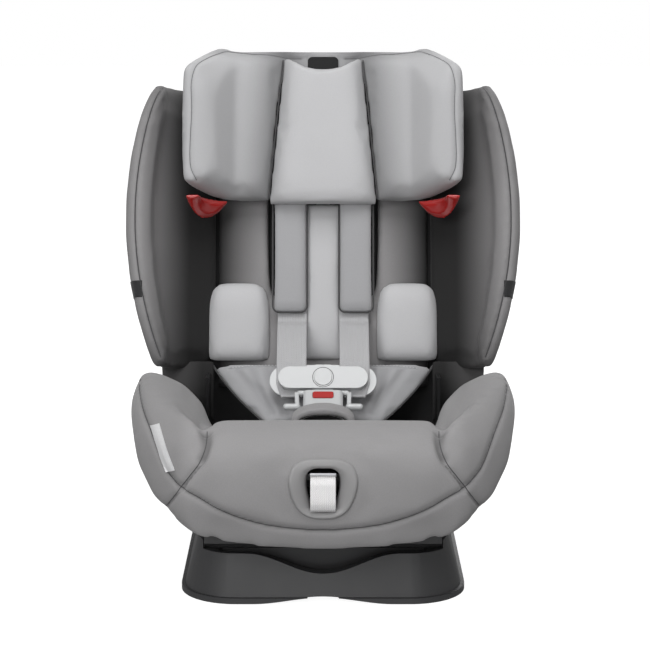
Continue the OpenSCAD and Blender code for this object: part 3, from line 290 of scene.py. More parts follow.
# %% Finish the hard pieces
HARD = {
    BASE: ["base_housing", "rocker_housing"],
    SHELL_SHADED: ["seat_pan", "back_wall", "hip_plates", "headrest_carriage"],
    REAR: ["rear_cover"],
    BLACK: ["guide_shoes", "recline_handle", "headrest_release_handle", "adjuster_housing"],
    WHITE: ["chest_clip_body", "chest_clip_back", "chest_clip_button", "buckle_housing",
            "buckle_tongue_left", "buckle_tongue_right"],
    RED: ["buckle_button"],
    RUBBER: ["base_foot_pads"],
    STEEL: ["recline_rail_left", "recline_rail_right", "recline_rack", "recline_lock_pin", "headrest_guide_rods",
            "headrest_rack", "headrest_lock_bolt", "adjuster_lever", "adjuster_pin"],
    CHROME: ["splitter_plate", "crotch_anchor"],
}
BEVELS = {"base_housing": 4.5, "rocker_housing": 2.0, "chest_clip_body": 1.8, "chest_clip_back": 1.2,
          "chest_clip_button": 1.2, "buckle_housing": 2.0, "rear_cover": 2.5}


def smooth_faces(piece):
    for face in piece.data.polygons:
        face.use_smooth = True
    return piece


def dress(name, material):
    piece = nodes[name]
    piece.data.materials.clear()
    piece.data.materials.append(material)
    weld = piece.modifiers.new("weld", "WELD")
    weld.merge_threshold = 0.00002
    bevel = piece.modifiers.new("edges", "BEVEL")
    bevel.width = BEVELS.get(name, 0.5) * MM
    bevel.segments = 3 if name in BEVELS else 2
    bevel.limit_method = "ANGLE"
    bevel.angle_limit = math.radians(38)
    bevel.use_clamp_overlap = True
    piece.modifiers.new("normals", "WEIGHTED_NORMAL")
    smooth_faces(piece)


for material, names in HARD.items():
    for name in names:
        dress(name, material)
print(sum(len(n) for n in HARD.values()), "hard pieces finished")

# %% [markdown]
# Soft pieces start from a copy of their solid. A voxel remesh gives an even net, smoothing takes the flat
# facets out, and a short cloth simulation with air pressure swells it. How far a point may move is capped,
# so a pad stays in its own space.

# %% Pad tools


def add_mesh(name, mesh):
    piece = bpy.data.objects.new(name, mesh)
    scene.collection.objects.link(piece)
    return piece


def from_points(name, spots, faces, edges=()):
    mesh = bpy.data.meshes.new(name)
    mesh.from_pydata(spots, edges, faces)
    return add_mesh(name, mesh)


def from_shape(name, shape):
    mesh = bpy.data.meshes.new(name)
    shape.to_mesh(mesh)
    shape.free()
    return add_mesh(name, mesh)


def gather(name, *sources):
    """A merged copy of some solids."""
    shape = bmesh.new()
    for source in sources:
        shape.from_mesh(nodes[source].data)
    bmesh.ops.remove_doubles(shape, verts=shape.verts, dist=0.00001)
    return from_shape(name, shape)


def bake(piece):
    """The modifiers' result becomes the mesh."""
    graph = bpy.context.evaluated_depsgraph_get()
    mesh = bpy.data.meshes.new_from_object(piece.evaluated_get(graph))
    piece.modifiers.clear()
    piece.data = mesh
    mesh.name = piece.name
    return piece


def points_of(piece, layer="co"):
    spots = np.empty(len(piece.data.vertices) * 3, np.float32)
    piece.data.vertices.foreach_get(layer, spots)
    return spots.reshape(-1, 3)


def normals_of(piece):
    return points_of(piece, "normal")


def set_points(piece, spots):
    piece.data.vertices.foreach_set("co", spots.astype(np.float32).ravel())
    piece.data.update()


def even_net(piece, voxel, passes):
    remesh = piece.modifiers.new("net", "REMESH")
    remesh.mode = "VOXEL"
    remesh.voxel_size = voxel * MM
    return iron(piece, passes)


PRESSURE, FRAMES = 4.0, 20


def puff(piece, cap, hold=None, still=None):
    """Blows the pad up like foam in a tight cover. Points stay within cap, and the still side stays put."""
    before, facing = points_of(piece), normals_of(piece)
    cloth = piece.modifiers.new("cloth", "CLOTH")
    cloth.settings.use_pressure = True
    cloth.settings.uniform_pressure_force = PRESSURE
    cloth.settings.effector_weights.gravity = 0
    cloth.point_cache.frame_start = 1
    cloth.point_cache.frame_end = FRAMES
    for step in range(1, FRAMES + 1):
        scene.frame_set(step)
    bake(piece)
    scene.frame_set(1)
    move = points_of(piece) - before
    far = np.linalg.norm(move, axis=1, keepdims=True)
    move *= np.minimum(1, cap * MM / np.maximum(far, 1e-9))
    if hold is not None:
        move *= hold(before)[:, None]
    if still is not None:
        move *= smoothstep(0.6, 0.1, facing @ np.array(still))[:, None]
    set_points(piece, before + move)
    return iron(piece, 6)


def iron(piece, passes, where=None):
    """Takes small crumples out of the net, everywhere or by weights from 0 to 1."""
    smooth = piece.modifiers.new("iron", "SMOOTH")
    smooth.factor = 0.5
    smooth.iterations = passes
    if where is not None:
        group = piece.vertex_groups.new(name="iron")
        for i in np.nonzero(where > 0.01)[0]:
            group.add([int(i)], float(where[i]), "REPLACE")
        smooth.vertex_group = "iron"
    bake(piece)
    piece.vertex_groups.clear()
    return piece


def smoothstep(a, b, value):
    t = np.clip((value - a) / (b - a), 0, 1)
    return t * t * (3 - 2 * t)


def surface_of(*pieces):
    spots, faces, offset = [], [], 0
    for piece in pieces:
        spots += [tuple(v.co) for v in piece.data.vertices]
        faces += [tuple(offset + i for i in f.vertices) for f in piece.data.polygons]
        offset = len(spots)
    return BVHTree.FromPolygons(spots, faces)


def clear_of(*names):
    """Holds the points that lie close to a neighbour."""
    tree = surface_of(*[nodes[n] for n in names])
    return lambda spots: np.array([smoothstep(0.001, 0.010, tree.find_nearest(Vector(p))[3]) for p in spots])


def finer(piece):
    subdivide = piece.modifiers.new("finer", "SUBSURF")
    subdivide.levels = subdivide.render_levels = 1
    return smooth_faces(bake(piece))


def thicken(piece, thickness, offset=0):
    wall = piece.modifiers.new("wall", "SOLIDIFY")
    wall.thickness = thickness * MM
    wall.offset = offset


def grid_faces(rows, columns, ring=False):
    """Squares between rows of points; a ring's rows close on themselves."""
    faces = []
    for i in range(rows - 1):
        for j in range(columns if ring else columns - 1):
            a, b = i * columns + j, i * columns + (j + 1) % columns
            faces.append((a, b, b + columns, a + columns))
    return faces


def add_hulls(piece, *forms):
    """Adds convex padding through each set of points."""
    shape = bmesh.new()
    shape.from_mesh(piece.data)
    for form in forms:
        bmesh.ops.convex_hull(shape, input=[shape.verts.new(spot) for spot in form])
    shape.to_mesh(piece.data)
    shape.free()


def mirrored(piece, name):
    mesh = piece.data.copy()
    mesh.transform(Matrix.Scale(-1, 4, (1, 0, 0)))
    mesh.flip_normals()
    mesh.name = name
    return add_mesh(name, mesh)


def wear(piece, body, slot, *replaced, material=None, fill=None):
    """Material, body, slot and the solids that the piece stands for; the slot is not used."""
    if material:
        piece.data.materials.clear()
        piece.data.materials.append(material)
    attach(piece, body)
    if replaced:
        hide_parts(*replaced)
    return piece


print("pad tools ready")

# %% [markdown]
# Seams are drawn on the finished pad. A seam is a curve given by a few points in the view it is seen in,
# straight from the front or square to the leaning back. Rays carry it onto the pad, the pad is drawn in
# along it, and an attribute marks the thread line for the fabric's colour. Drawn wide and soft, the same
# mark paints shade into a few creases.

# %% Seam tools
TILT = math.radians(17)
BITE = Vector((0, 95 * MM, 150 * MM))
UP_BACK = Vector((0, math.sin(TILT), math.cos(TILT)))
OUT_BACK = Vector((0, -math.cos(TILT), math.sin(TILT)))


def on_back(x, d, h):
    """A point x to the side, d out of the back wall and h along it, in millimetres."""
    return BITE + Vector((x * MM, 0, 0)) + OUT_BACK * (d * MM) + UP_BACK * (h * MM)


def back_reading(spots):
    """How far points lie to the side, out of the back wall and up it, in millimetres."""
    spots = spots - np.array(BITE)
    return np.abs(spots[:, 0]) / MM, spots @ np.array(OUT_BACK) / MM, spots @ np.array(UP_BACK) / MM


def curve_spot(a, b, c, d, t):
    """A point of a Catmull-Rom curve between b and c."""
    return 0.5 * (2 * b + (c - a) * t + (2 * a - 5 * b + 4 * c - d) * t ** 2 + (3 * b - a - 3 * c + d) * t ** 3)


def smooth_line(points, step=0.002):
    """A curve through the points, in even steps."""
    points = [np.array(p, float) for p in points]
    ends = [2 * points[0] - points[1], *points, 2 * points[-1] - points[-2]]
    line = []
    for a, b, c, d in zip(ends, ends[1:], ends[2:], ends[3:]):
        count = max(2, int(np.linalg.norm(c - b) / step))
        line += [curve_spot(a, b, c, d, t) for t in np.arange(count) / count]
    return line + [points[-1]]


def from_front(tree, x, z):
    """What a ray from the front meets, x to the side and z up in millimetres."""
    return tree.ray_cast(Vector((x * MM, -0.6, z * MM)), Vector((0, 1, 0)))


def drawn_on(piece, points, view="front"):
    """Carries a curve of (x, height) points in millimetres onto a piece."""
    tree = surface_of(piece)
    found = []
    for x, h in smooth_line(points, 2.0):
        hit = from_front(tree, x, h) if view == "front" else tree.ray_cast(on_back(x, 260, h), -OUT_BACK)
        if hit[0] is not None:
            found.append(hit[:2])
    return found


def settle(piece, points):
    """Carries points in space onto the nearest spot of a piece."""
    tree = surface_of(piece)
    return [tree.find_nearest(Vector(point))[:2] for point in smooth_line(points)]


def mark_of(piece, name):
    return piece.data.attributes.get(name) or piece.data.attributes.new(name, "FLOAT", "POINT")


def sew(piece, *lines, depth=2.0, width=3.0, thread=0.9, mark=1.0):
    """Draws the pad in along lines of points."""
    spots = points_of(piece)
    normals = normals_of(piece)
    values = np.zeros(len(spots), np.float32)
    mark_of(piece, "seam_and_crease_shade").data.foreach_get("value", values)
    reach = 3 * width * MM
    for line in lines:
        tree = KDTree(len(line))
        for i, (spot, _) in enumerate(line):
            tree.insert(spot, i)
        tree.balance()
        ends = np.array([spot for spot, _ in line])
        near = np.all((spots > ends.min(0) - reach) & (spots < ends.max(0) + reach), axis=1)
        for i in np.nonzero(near)[0]:
            far = tree.find(Vector(spots[i]))[2] / MM
            if far < width * 3:
                spots[i] -= normals[i] * depth * MM * math.exp(-(far / width) ** 2)
                values[i] = max(values[i], mark * math.exp(-(far / thread) ** 2))
    set_points(piece, spots)
    mark_of(piece, "seam_and_crease_shade").data.foreach_set("value", values)


def painted_shade(piece, amount):
    """Paints shade onto a cover; amount turns x, d and h on the back, in millimetres, into 0 to 1, and 1 is darkest.
    """
    values = np.clip(amount(*back_reading(points_of(piece))), 0, 1)
    mark_of(piece, "painted_shade").data.foreach_set("value", values.astype(np.float32))


def both_sides(points):
    """The same points on the right and on the left."""
    return [points, [(-p[0], *p[1:]) for p in points]]


print("seam tools ready")

# %% [markdown]
# The seat's cover is one sewn skin over the cushion, the nose and both bolsters, so those solids are
# melted into one net before it is blown up. The edge of the adjuster's opening is held, because the bezel
# clamps the cover there. The lower corners get some padding first, and their edge is brought to one sweep.

# %% Seat cover
SEAT_PADS = ["seat_cushion", "nose_pad", "bolster_left", "bolster_right", "side_panels"]
BEZEL_Z = 158


def off_the_bezel(spots):
    """Holds the cover round the bezel, at the hem and at the lower corners."""
    far = np.hypot(spots[:, 0], (spots[:, 2] - BEZEL_Z * MM) * 1.15)
    free = np.where(spots[:, 1] < -0.2, smoothstep(0.036, 0.062, far), 1)
    corner = smoothstep(0.115, 0.14, np.abs(spots[:, 0])) * smoothstep(0.215, 0.19, spots[:, 2])
    hem = smoothstep(0.135, 0.115, spots[:, 2])
    return free * (1 - 0.9 * np.maximum(corner, hem) * smoothstep(-0.15, -0.19, spots[:, 1]))


CORNER_FILL = [
    (128, -253, 93), (153, -246, 101), (168, -237, 113), (182, -228, 126), (194, -214, 137), (200, -212, 150),
    (200, -210, 176), (162, -250, 118), (168, -249, 132), (160, -251, 146), (150, -253, 164), (143, -252, 182),
    (140, -251, 190), (168, -233, 190), (185, -222, 188), (150, -215, 108), (180, -200, 132), (195, -195, 160),
    (150, -215, 185)]
CREASE_FILL = [
    (130, -240, 213), (130, -225, 213), (150, -228, 215), (150, -218, 215), (130, -244, 184), (152, -233, 184),
    (130, -220, 184), (152, -220, 184)]
SWEEP_X = [0, 33, 93, 127, 153.5, 183, 197, 216, 226, 237]
SWEEP_Z = [84, 84.3, 87, 92, 100.7, 126, 137.5, 167, 200, 236]


def fill_corners(piece):
    """Adds the padding that carries the cover from the nose round to each bolster."""
    add_hulls(piece, *[[(s * x * MM, y * MM, z * MM) for x, y, z in form]
                       for s in (1, -1) for form in (CORNER_FILL, CREASE_FILL)])


def tuck_corners(piece):
    """Brings the lower front edge to one sweep from the bolsters to the hem."""
    spots = points_of(piece)
    x, y, z = np.abs(spots[:, 0]) / MM, spots[:, 1] / MM, spots[:, 2] / MM
    normals = normals_of(piece)
    outside = x > np.interp(z, SWEEP_Z, SWEEP_X)
    facing = 0.6 * normals[:, 0] * np.sign(spots[:, 0]) - 0.8 * normals[:, 2]
    hem = (facing > 0.3) & (z < 130)
    share = np.where(outside, smoothstep(-20, -90, y), 0.85 * hem * smoothstep(-200, -225, y))
    steps = np.linspace(0, 1, 400)
    knots = np.linspace(0, 1, len(SWEEP_X))
    sweep = np.column_stack([np.interp(steps, knots, SWEEP_X), np.interp(steps, knots, SWEEP_Z)])
    for i in np.nonzero(share > 0)[0]:
        gap = np.hypot(*(sweep - (x[i], z[i])).T)
        near = sweep[np.argmin(gap)]
        if outside[i] or gap.min() < 18:
            spots[i, 0] += np.sign(spots[i, 0]) * (near[0] - x[i]) * share[i] * MM
            spots[i, 2] += (near[1] - z[i]) * share[i] * MM
    set_points(piece, spots)
    beside_nose = np.abs(x - 160 + 0.36 * (z - 150))
    iron(piece, 24, smoothstep(34, 14, beside_nose) * smoothstep(-190, -215, y) * smoothstep(204, 186, z))
    return iron(piece, 5)


def make_seat_cover():
    piece = gather("seat_cover", *SEAT_PADS)
    fill_corners(piece)
    even_net(piece, 5, 9)
    tuck_corners(piece)
    puff(piece, 4, hold=off_the_bezel)
    finer(piece)
    return wear(piece, "seat", "fabric_grey", *SEAT_PADS, material=GREY, fill=0.75)


seat_cover = make_seat_cover()
print("seat cover:", len(seat_cover.data.polygons), "faces")

# %% [markdown]
# Its seams: a long one between each bolster and the nose, drawn in deepest at its upper end, the hem across
# the bottom, a short cross seam at each end of the hem, and one along the outside of each bolster. They are
# given as they look from the front, in millimetres to the side and up.

# %% Seat cover seams
NOSE_SIDE = [(134, 214), (134.5, 200), (141, 184), (152, 169), (163, 154)]
CROSS = [(163, 154), (173, 140), (182, 127)]
HEM_HALF = [(163, 154), (145, 147), (122, 135), (92, 123), (60, 115), (20, 110.5)]
HEM = HEM_HALF + [(0, 110)] + [(-x, z) for x, z in HEM_HALF[::-1]]
BOLSTER_OUT = [(221, 248), (212, 228), (200, 208), (184, 176), (172, 162), (163, 154)]
FINE_SEAMS = [HEM, *both_sides(CROSS), *both_sides(BOLSTER_OUT)]
NOSE_WEDGE = [(144, 232), (139, 222), (135, 212), (135, 201), (139, 191)]
wedges = [drawn_on(seat_cover, line) for line in both_sides(NOSE_WEDGE)]
deep = [drawn_on(seat_cover, line) for line in both_sides(NOSE_SIDE)]
# painted shade: a wide dark mark along each wedge, in the crevice between bolster and nose
sew(seat_cover, *wedges, depth=5, width=6, thread=6, mark=0.8)
fine = [drawn_on(seat_cover, line) for line in FINE_SEAMS]
sew(seat_cover, *deep, depth=4.5, width=4.5, thread=1.3)
sew(seat_cover, *fine, depth=2.2, width=4.0, thread=1.8, mark=0.85)
# painted shade: darker towards the back of the seat, and a little on both bolsters
painted_shade(seat_cover, lambda x, d, h: 0.55 * (1 - np.clip((d - 60) / 120, 0, 1))
      + 0.14 * smoothstep(150, 172, x))
print("seams:", [len(line) for line in deep + fine])

# %% [markdown]
# The back wings are hard boxes with a padded cover pulled over them, so box and pad become one skin here.
# The right one is made and the left one is its mirror image.

# %% Back wings


def blown_pad(name, sources, voxel, passes, cap, beside=(), pack=None, still=None):
    piece = gather(name, *sources)
    if pack:
        pack(piece)
    even_net(piece, voxel, passes)
    puff(piece, cap, clear_of(*beside) if beside else None, still)
    return finer(piece)


def make_pair(name, sources, voxel, passes, cap, material, slot, fill, still=None):
    right = blown_pad(name + "_right", [s + "_right" for s in sources], voxel, passes, cap, still=still)
    left = mirrored(right, name + "_left")
    for piece, side in ((right, "_right"), (left, "_left")):
        wear(piece, "seat", slot, *[s + side for s in sources], material=material, fill=fill)
    return right, left


def wing_edge(h, inside):
    return 249.5 - 0.00105 * (h - 254) ** 2 - inside


wings = make_pair("wing_skin", ["wing_cover", "wing_shell"], 5, 10, 4, DARK, "fabric_dark", 0.6)
wing_rows = [[(s * wing_edge(h, 11), h) for h in range(74, 427, 22)] for s in (1, -1)]
for piece, row in zip(wings, wing_rows):
    sew(piece, drawn_on(piece, row, "back"), depth=2.0, width=3.6, thread=1.5, mark=0.6)
    # painted shade: each wing's inner face darkens to almost black towards the middle of the seat
    painted_shade(piece, lambda x, d, h: 0.99 * (1 - np.clip((x - 172) / 62, 0, 1) ** 1.3))
print("wings:", [len(piece.data.polygons) for piece in wings], "faces")

# %% [markdown]
# Under each wing the cover ends in a short skirt that hangs behind the bolster and hides the hinge of the hip.
# It is a bent grid with a little thickness, painted almost black with shade.

# %% Hip skirts


def make_skirt(side, s):
    spots, rows, columns = [], 9, 15
    for i in range(rows):
        for j in range(columns):
            u, v = j / (columns - 1), i / (rows - 1)
            x = 141 + u * (67 - 14 * v ** 2)
            y = 74 - 17.5 * min(1, 1.7 * v) ** 0.8
            spots.append((s * x * MM, y * MM, (234 - 74 * v + 12 * u * v) * MM))
    piece = from_points("hip_skirt" + side, spots, grid_faces(rows, columns))
    thicken(piece, 3)
    finer(piece)
    # painted shade: nearly black, darkest towards the middle of the seat
    painted_shade(piece, lambda x, d, h: 1 - 0.4 * np.clip((x - 156) / 60, 0, 1))
    return wear(piece, "seat", "fabric_dark", material=DARK, fill=0.3)


skirts = [make_skirt("_right", 1), make_skirt("_left", -1)]
print("skirts:", [len(piece.data.polygons) for piece in skirts], "faces")

# %% [markdown]
# The headrest's cover is one skin over its frame and two wing pads, with a centre pad between them. Faces that
# pass other pieces as the headrest slides are held still.

# %% Headrest
HEAD_SIDE = 112 * MM
TAB = "headrest_release_handle"
TAB_LENGTH, TAB_TRAVEL, TAB_CLEAR = 30, 11, 0.8


def make_pad(name, sources, body, slot, material, voxel, passes, cap, fill, **how):
    piece = blown_pad(name, sources, voxel, passes, cap, **how)
    return wear(piece, body, slot, *sources, material=material, fill=fill)


def pack_sides(piece):
    """Fills the step between the wing pads and the rim, as the foam under the cover does."""
    spots = [v.co.copy() for v in piece.data.vertices]
    add_hulls(piece, *[[spot for spot in spots if s * spot.x > HEAD_SIDE] for s in (1, -1)])


def slim_head(piece):
    """Draws the headrest's sides in, more at its top corners."""
    spots = points_of(piece)
    x, _, h = back_reading(spots)
    pull = smoothstep(95, 165, x) * (4 + 6 * smoothstep(440, 492, h))
    spots[:, 0] -= np.sign(spots[:, 0]) * pull * MM
    set_points(piece, spots)


def clear_tab(piece):
    """Keeps a cover out of the way of the tab's upper end as it is pulled up."""
    tab = np.column_stack(back_reading(points_of(nodes[TAB])))
    tab = tab[tab[:, 2] > tab[:, 2].max() - TAB_LENGTH]
    low, high = tab.min(0) - TAB_CLEAR, tab.max(0) + (TAB_CLEAR, TAB_CLEAR, TAB_TRAVEL)
    low[0] = -1
    spots = points_of(piece)
    own = np.column_stack(back_reading(spots))
    within = np.all((own > low) & (own < high), axis=1)
    shift = np.where(own[:, 1] > (low[1] + high[1]) / 2, high[1], low[1]) - own[:, 1]
    set_points(piece, spots + (shift * within * MM)[:, None] * np.array(OUT_BACK))
    print("points moved off the tab:", int(within.sum()))


HEAD_WINGS = ["headrest_wing_pad_left", "headrest_wing_pad_right"]
HEAD_PADS = ["headrest_rim_cover", "headrest_frame", *HEAD_WINGS]
headrest = make_pad("headrest_cover", HEAD_PADS, "headrest", "fabric_light", LIGHT, 3.6, 9, 4, 0.7,
                    beside=("headrest_center_pad", TAB), pack=pack_sides)
iron(headrest, 26, smoothstep(98, 122, back_reading(points_of(headrest))[0]))
slim_head(headrest)
clear_tab(headrest)
center_pad = make_pad("headrest_center", ["headrest_center_pad"], "headrest", "fabric_light", LIGHT, 3, 7, 4, 0.7,
                      beside=(*HEAD_WINGS, TAB), still=-OUT_BACK)
print("headrest:", len(headrest.data.polygons), "faces")

# %% [markdown]
# The back pad, the infant insert, the shoulder pads and the crotch sleeve are the same kind of foam pad. The
# insert's panels are a little wider than their solids.

# %% Back pad, insert and small pads


def widen(piece, factor, middle=0):
    """Stretches a piece to both sides of its middle."""
    spots = points_of(piece)
    spots[:, 0] = np.sign(spots[:, 0]) * (middle + (np.abs(spots[:, 0]) - middle) * factor)
    set_points(piece, spots)


back_pad = make_pad("back_pad_cover", ["back_pad"], "seat", "fabric_dark", DARK, 5, 6, 3, 0.5)
insert_seat = make_pad("insert_seat", ["insert_seat_pad"], "seat", "fabric_light", PALE_SHADED, 3.5, 6, 5, 0.6)
insert_sides = make_pair("insert_side", ["insert_side_pad"], 3.5, 6, 5, PALE, "fabric_light", 0.7)
for piece in insert_sides:
    widen(piece, 1.11, np.abs(points_of(piece)[:, 0]).min())
insert_center = make_pad("insert_center", ["insert_center_panel"], "seat", "fabric_light", PALE, 3, 5, 2, 0.5)
widen(insert_center, 1.4)
make_pair("shoulder_pad_cover", ["shoulder_pad"], 3, 5, 2, PALE_SHADED, "fabric_light", 0.5, still=OUT_BACK)
make_pad("crotch_sleeve", ["crotch_pad"], "seat", "fabric_grey", GREY, 2.5, 5, 1.5, 0.5)
# painted shade: the back pad darkens towards its sides
painted_shade(back_pad, lambda x, d, h: 0.3 + (x - 95) / 60)
print("pads made")

# %% [markdown]
# A fine seam follows the headrest's rim. The rim's outline is measured on the cover, as the farthest point in
# each direction from its middle. Both covers carry painted shade, darker towards the gaps beside the centre
# pad; the headrest's cover is also a little darker all over, and more along its top.

# %% Headrest seams
HEAD_MID = 385


def rim_line(inside):
    x, _, h = back_reading(points_of(headrest))
    h -= HEAD_MID
    turn, far = np.degrees(np.arctan2(h, x)), np.hypot(x, h)
    line = []
    for a in range(-28, 73, 5):
        reach = far[np.abs(turn - a) < 3].max() - inside
        line.append((reach * math.cos(math.radians(a)), HEAD_MID + reach * math.sin(math.radians(a))))
    return line


def pad_half(h):
    return 71 - 21 * (h - 277) / 207


head_rims = both_sides(rim_line(13))
head_gaps = both_sides([(pad_half(h) - 3, h) for h in (284, 300, 350, 400, 450, 474)])
sew(headrest, *[drawn_on(headrest, line, "back") for line in head_rims],
    depth=1.6, width=3.6, thread=1.4, mark=0.4)
# painted shade: darker near the gaps beside the centre pad, a little all over, and more along the top
painted_shade(headrest, lambda x, d, h: 0.12 + 0.42 * np.exp(-((x - pad_half(h)) / 34) ** 2)
      + 0.2 * smoothstep(462, 486, h))
painted_shade(center_pad, lambda x, d, h: 0.26 * np.exp(-((x - pad_half(h)) / 16) ** 2))
print("headrest seams:", [len(line) for line in head_rims + head_gaps], "points")

# %% [markdown]
# Sewing that stands proud of the cloth. Stitches repeat, so one Geometry Nodes group lays a thread capsule at
# every step of a line. Piping is a cord in a fabric edge and is a plain tube; the same tube also draws a few
# dark cords of painted shadow.

# %% Stitches and piping


def stitch_group():
    group = bpy.data.node_groups.new("stitch_row", "GeometryNodeTree")
    face = group.interface
    face.new_socket("Line", in_out="INPUT", socket_type="NodeSocketGeometry")
    for name in ("Spacing", "Length", "Radius"):
        face.new_socket(name, in_out="INPUT", socket_type="NodeSocketFloat")
    face.new_socket("Thread", in_out="INPUT", socket_type="NodeSocketMaterial")
    face.new_socket("Stitches", in_out="OUTPUT", socket_type="NodeSocketGeometry")

    def add(kind, settings=None, **links):
        node = group.nodes.new(kind)
        for key, value in (settings or {}).items():
            setattr(node, key, value)
        for key, value in links.items():
            socket = node.inputs[key.replace("_", " ")]
            if hasattr(value, "is_linked"):
                group.links.new(value, socket)
            else:
                socket.default_value = value
        return node

    given = add("NodeGroupInput").outputs
    curve = add("GeometryNodeMeshToCurve", Mesh=given["Line"]).outputs[0]
    steps = add("GeometryNodeResampleCurve", {"mode": "LENGTH"}, Curve=curve, Length=given["Spacing"]).outputs[0]
    bead = add("GeometryNodeMeshUVSphere", Segments=8, Rings=5, Radius=1.0).outputs[0]
    half = add("ShaderNodeMath", {"operation": "MULTIPLY"})
    group.links.new(given["Length"], half.inputs[0])
    half.inputs[1].default_value = 0.5
    scale = add("ShaderNodeCombineXYZ", X=given["Radius"], Y=given["Radius"], Z=half.outputs[0]).outputs[0]
    turn = add("FunctionNodeAlignRotationToVector", {"axis": "Z"}, Vector=add("GeometryNodeInputTangent").outputs[0])
    laid = add("GeometryNodeInstanceOnPoints", Points=steps, Instance=bead, Rotation=turn.outputs[0], Scale=scale)
    real = add("GeometryNodeRealizeInstances", Geometry=laid.outputs[0])
    threaded = add("GeometryNodeSetMaterial", Geometry=real.outputs[0], Material=given["Thread"])
    group.links.new(threaded.outputs[0], add("NodeGroupOutput").inputs[0])
    return group


STITCHES = stitch_group()


def stitch(name, lines, material, body, slot, spacing=5.0, length=3.4, radius=0.42, lift=0.25):
    """Rows of thread on lines of (spot, normal)."""
    spots, edges = [], []
    for line in lines:
        first = len(spots)
        spots += [spot + normal * lift * MM for spot, normal in line]
        edges += [(i, i + 1) for i in range(first, len(spots) - 1)]
    piece = from_points(name, spots, [], edges)
    rows = piece.modifiers.new("stitches", "NODES")
    rows.node_group = STITCHES
    values = {"Spacing": spacing * MM, "Length": length * MM, "Radius": radius * MM, "Thread": material}
    for item in STITCHES.interface.items_tree:
        if item.in_out == "INPUT" and item.name in values:
            rows[item.identifier] = values[item.name]
    return wear(smooth_faces(bake(piece)), body, slot)


def piping(name, lines, radius, material, body, slot):
    """Round cords along lines of points."""
    data = bpy.data.curves.new(name, "CURVE")
    data.dimensions = "3D"
    data.bevel_depth = radius * MM
    data.bevel_resolution = 3
    data.use_fill_caps = True
    for line in lines:
        spline = data.splines.new("POLY")
        spline.points.add(len(line) - 1)
        for point, spot in zip(spline.points, line):
            point.co = (*spot, 1)
    cord = bpy.data.objects.new(name + "_cord", data)
    scene.collection.objects.link(cord)
    graph = bpy.context.evaluated_depsgraph_get()
    mesh = bpy.data.meshes.new_from_object(cord.evaluated_get(graph))
    bpy.data.objects.remove(cord)
    return wear(smooth_faces(add_mesh(name, mesh)), body, slot, material=material)


def plain_thread(name, tone):
    f = Finish(name, roughness=0.7, sheen_weight=0.3)
    return f.finish(color=f.mix(f.noise(2500), times(tone, 0.8), tone))


# dark thread for seams and piping, also used for the cords of painted shadow in gaps
DARK_THREAD_AND_SHADOW = plain_thread("dark_thread_and_shadow", (0.045, 0.044, 0.046))
GREY_THREAD = plain_thread("grey_thread", (0.13, 0.13, 0.135))
PALE_THREAD = plain_thread("pale_thread", (0.62, 0.62, 0.63))
print("threads:", [m.name for m in (DARK_THREAD_AND_SHADOW, GREY_THREAD, PALE_THREAD)])

# %% [markdown]
# A seam shows as a thin dark line at the bottom of its groove. The lines are carried onto the sewn pads once
# more, and a fine thread is laid in each. The dark cords in the headrest's gaps beside the centre pad are
# painted shadow.

# %% Threads in the seams, and gap shadows


def spots_on(piece, line, view="front"):
    return [spot for spot, _ in drawn_on(piece, line, view)]


seat_threads = [spots_on(seat_cover, line) for line in [*both_sides(NOSE_SIDE), *FINE_SEAMS]]
wing_threads = [spots_on(piece, row, "back") for piece, row in zip(wings, wing_rows)]
head_threads = [spots_on(headrest, line, "back") for line in head_rims]
# painted shadow: dark cords sunk in the gaps beside the centre pad
gap_shadow_lines = [[s + Vector((math.copysign(3.6, s.x), 0, 0)) * MM - OUT_BACK * 0.6 * MM
                for s in spots_on(center_pad, line, "back")] for line in head_gaps]
piping("seat_seams", seat_threads, 0.55, DARK_THREAD_AND_SHADOW, "seat", "fabric_black")
piping("wing_seams", wing_threads, 0.8, DARK_THREAD_AND_SHADOW, "seat", "fabric_black")
piping("headrest_seams", head_threads, 0.45, GREY_THREAD, "headrest", "fabric_light")
piping("headrest_gaps", gap_shadow_lines, 1.0, DARK_THREAD_AND_SHADOW, "headrest", "fabric_black")
print("threads laid:", len(seat_threads + wing_threads + head_threads + gap_shadow_lines))

# %% [markdown]
# The opening for the adjuster has a dished bezel, wide at the top and round at the bottom. Two outlines, the rim
# and the hole, are blended ring by ring, and the rim follows the cover that it clamps.

# %% Adjuster bezel


def closed_line(right, count=6):
    """A smooth closed outline from points down its right side."""
    points = [np.array(q, float) for q in right + [(-x, z) for x, z in right[-2:0:-1]]]
    line = []
    for i in range(len(points)):
        a, b, c, d = (points[(i + k) % len(points)] for k in (-1, 0, 1, 2))
        line += [curve_spot(a, b, c, d, t) for t in np.arange(count) / count]
    return np.array(line)


BEZEL_RIM = [(0, 33), (20, 32), (33, 26), (38.5, 14), (38, 2), (34, -12), (26, -25), (14, -32), (0, -33.5)]
BEZEL_HOLE = [(0, 24.5), (10, 24), (18, 19), (20.5, 9), (19.5, -4), (16.5, -17), (14, -23.5), (7, -25), (0, -25)]
BEZEL_RINGS = [(1.04, 0, 5), (1.015, 0, -0.3), (0.97, 0, -2.0), (0.86, 0, -2.6), (0.6, 0.35, -2.6), (0.3, 0.8, -2.6),
               (0.1, 1, 0), (0.0, 1, 1.5), (-0.03, 1, 14)]
COVER_Y, HOLE_Y = -272, -266.5


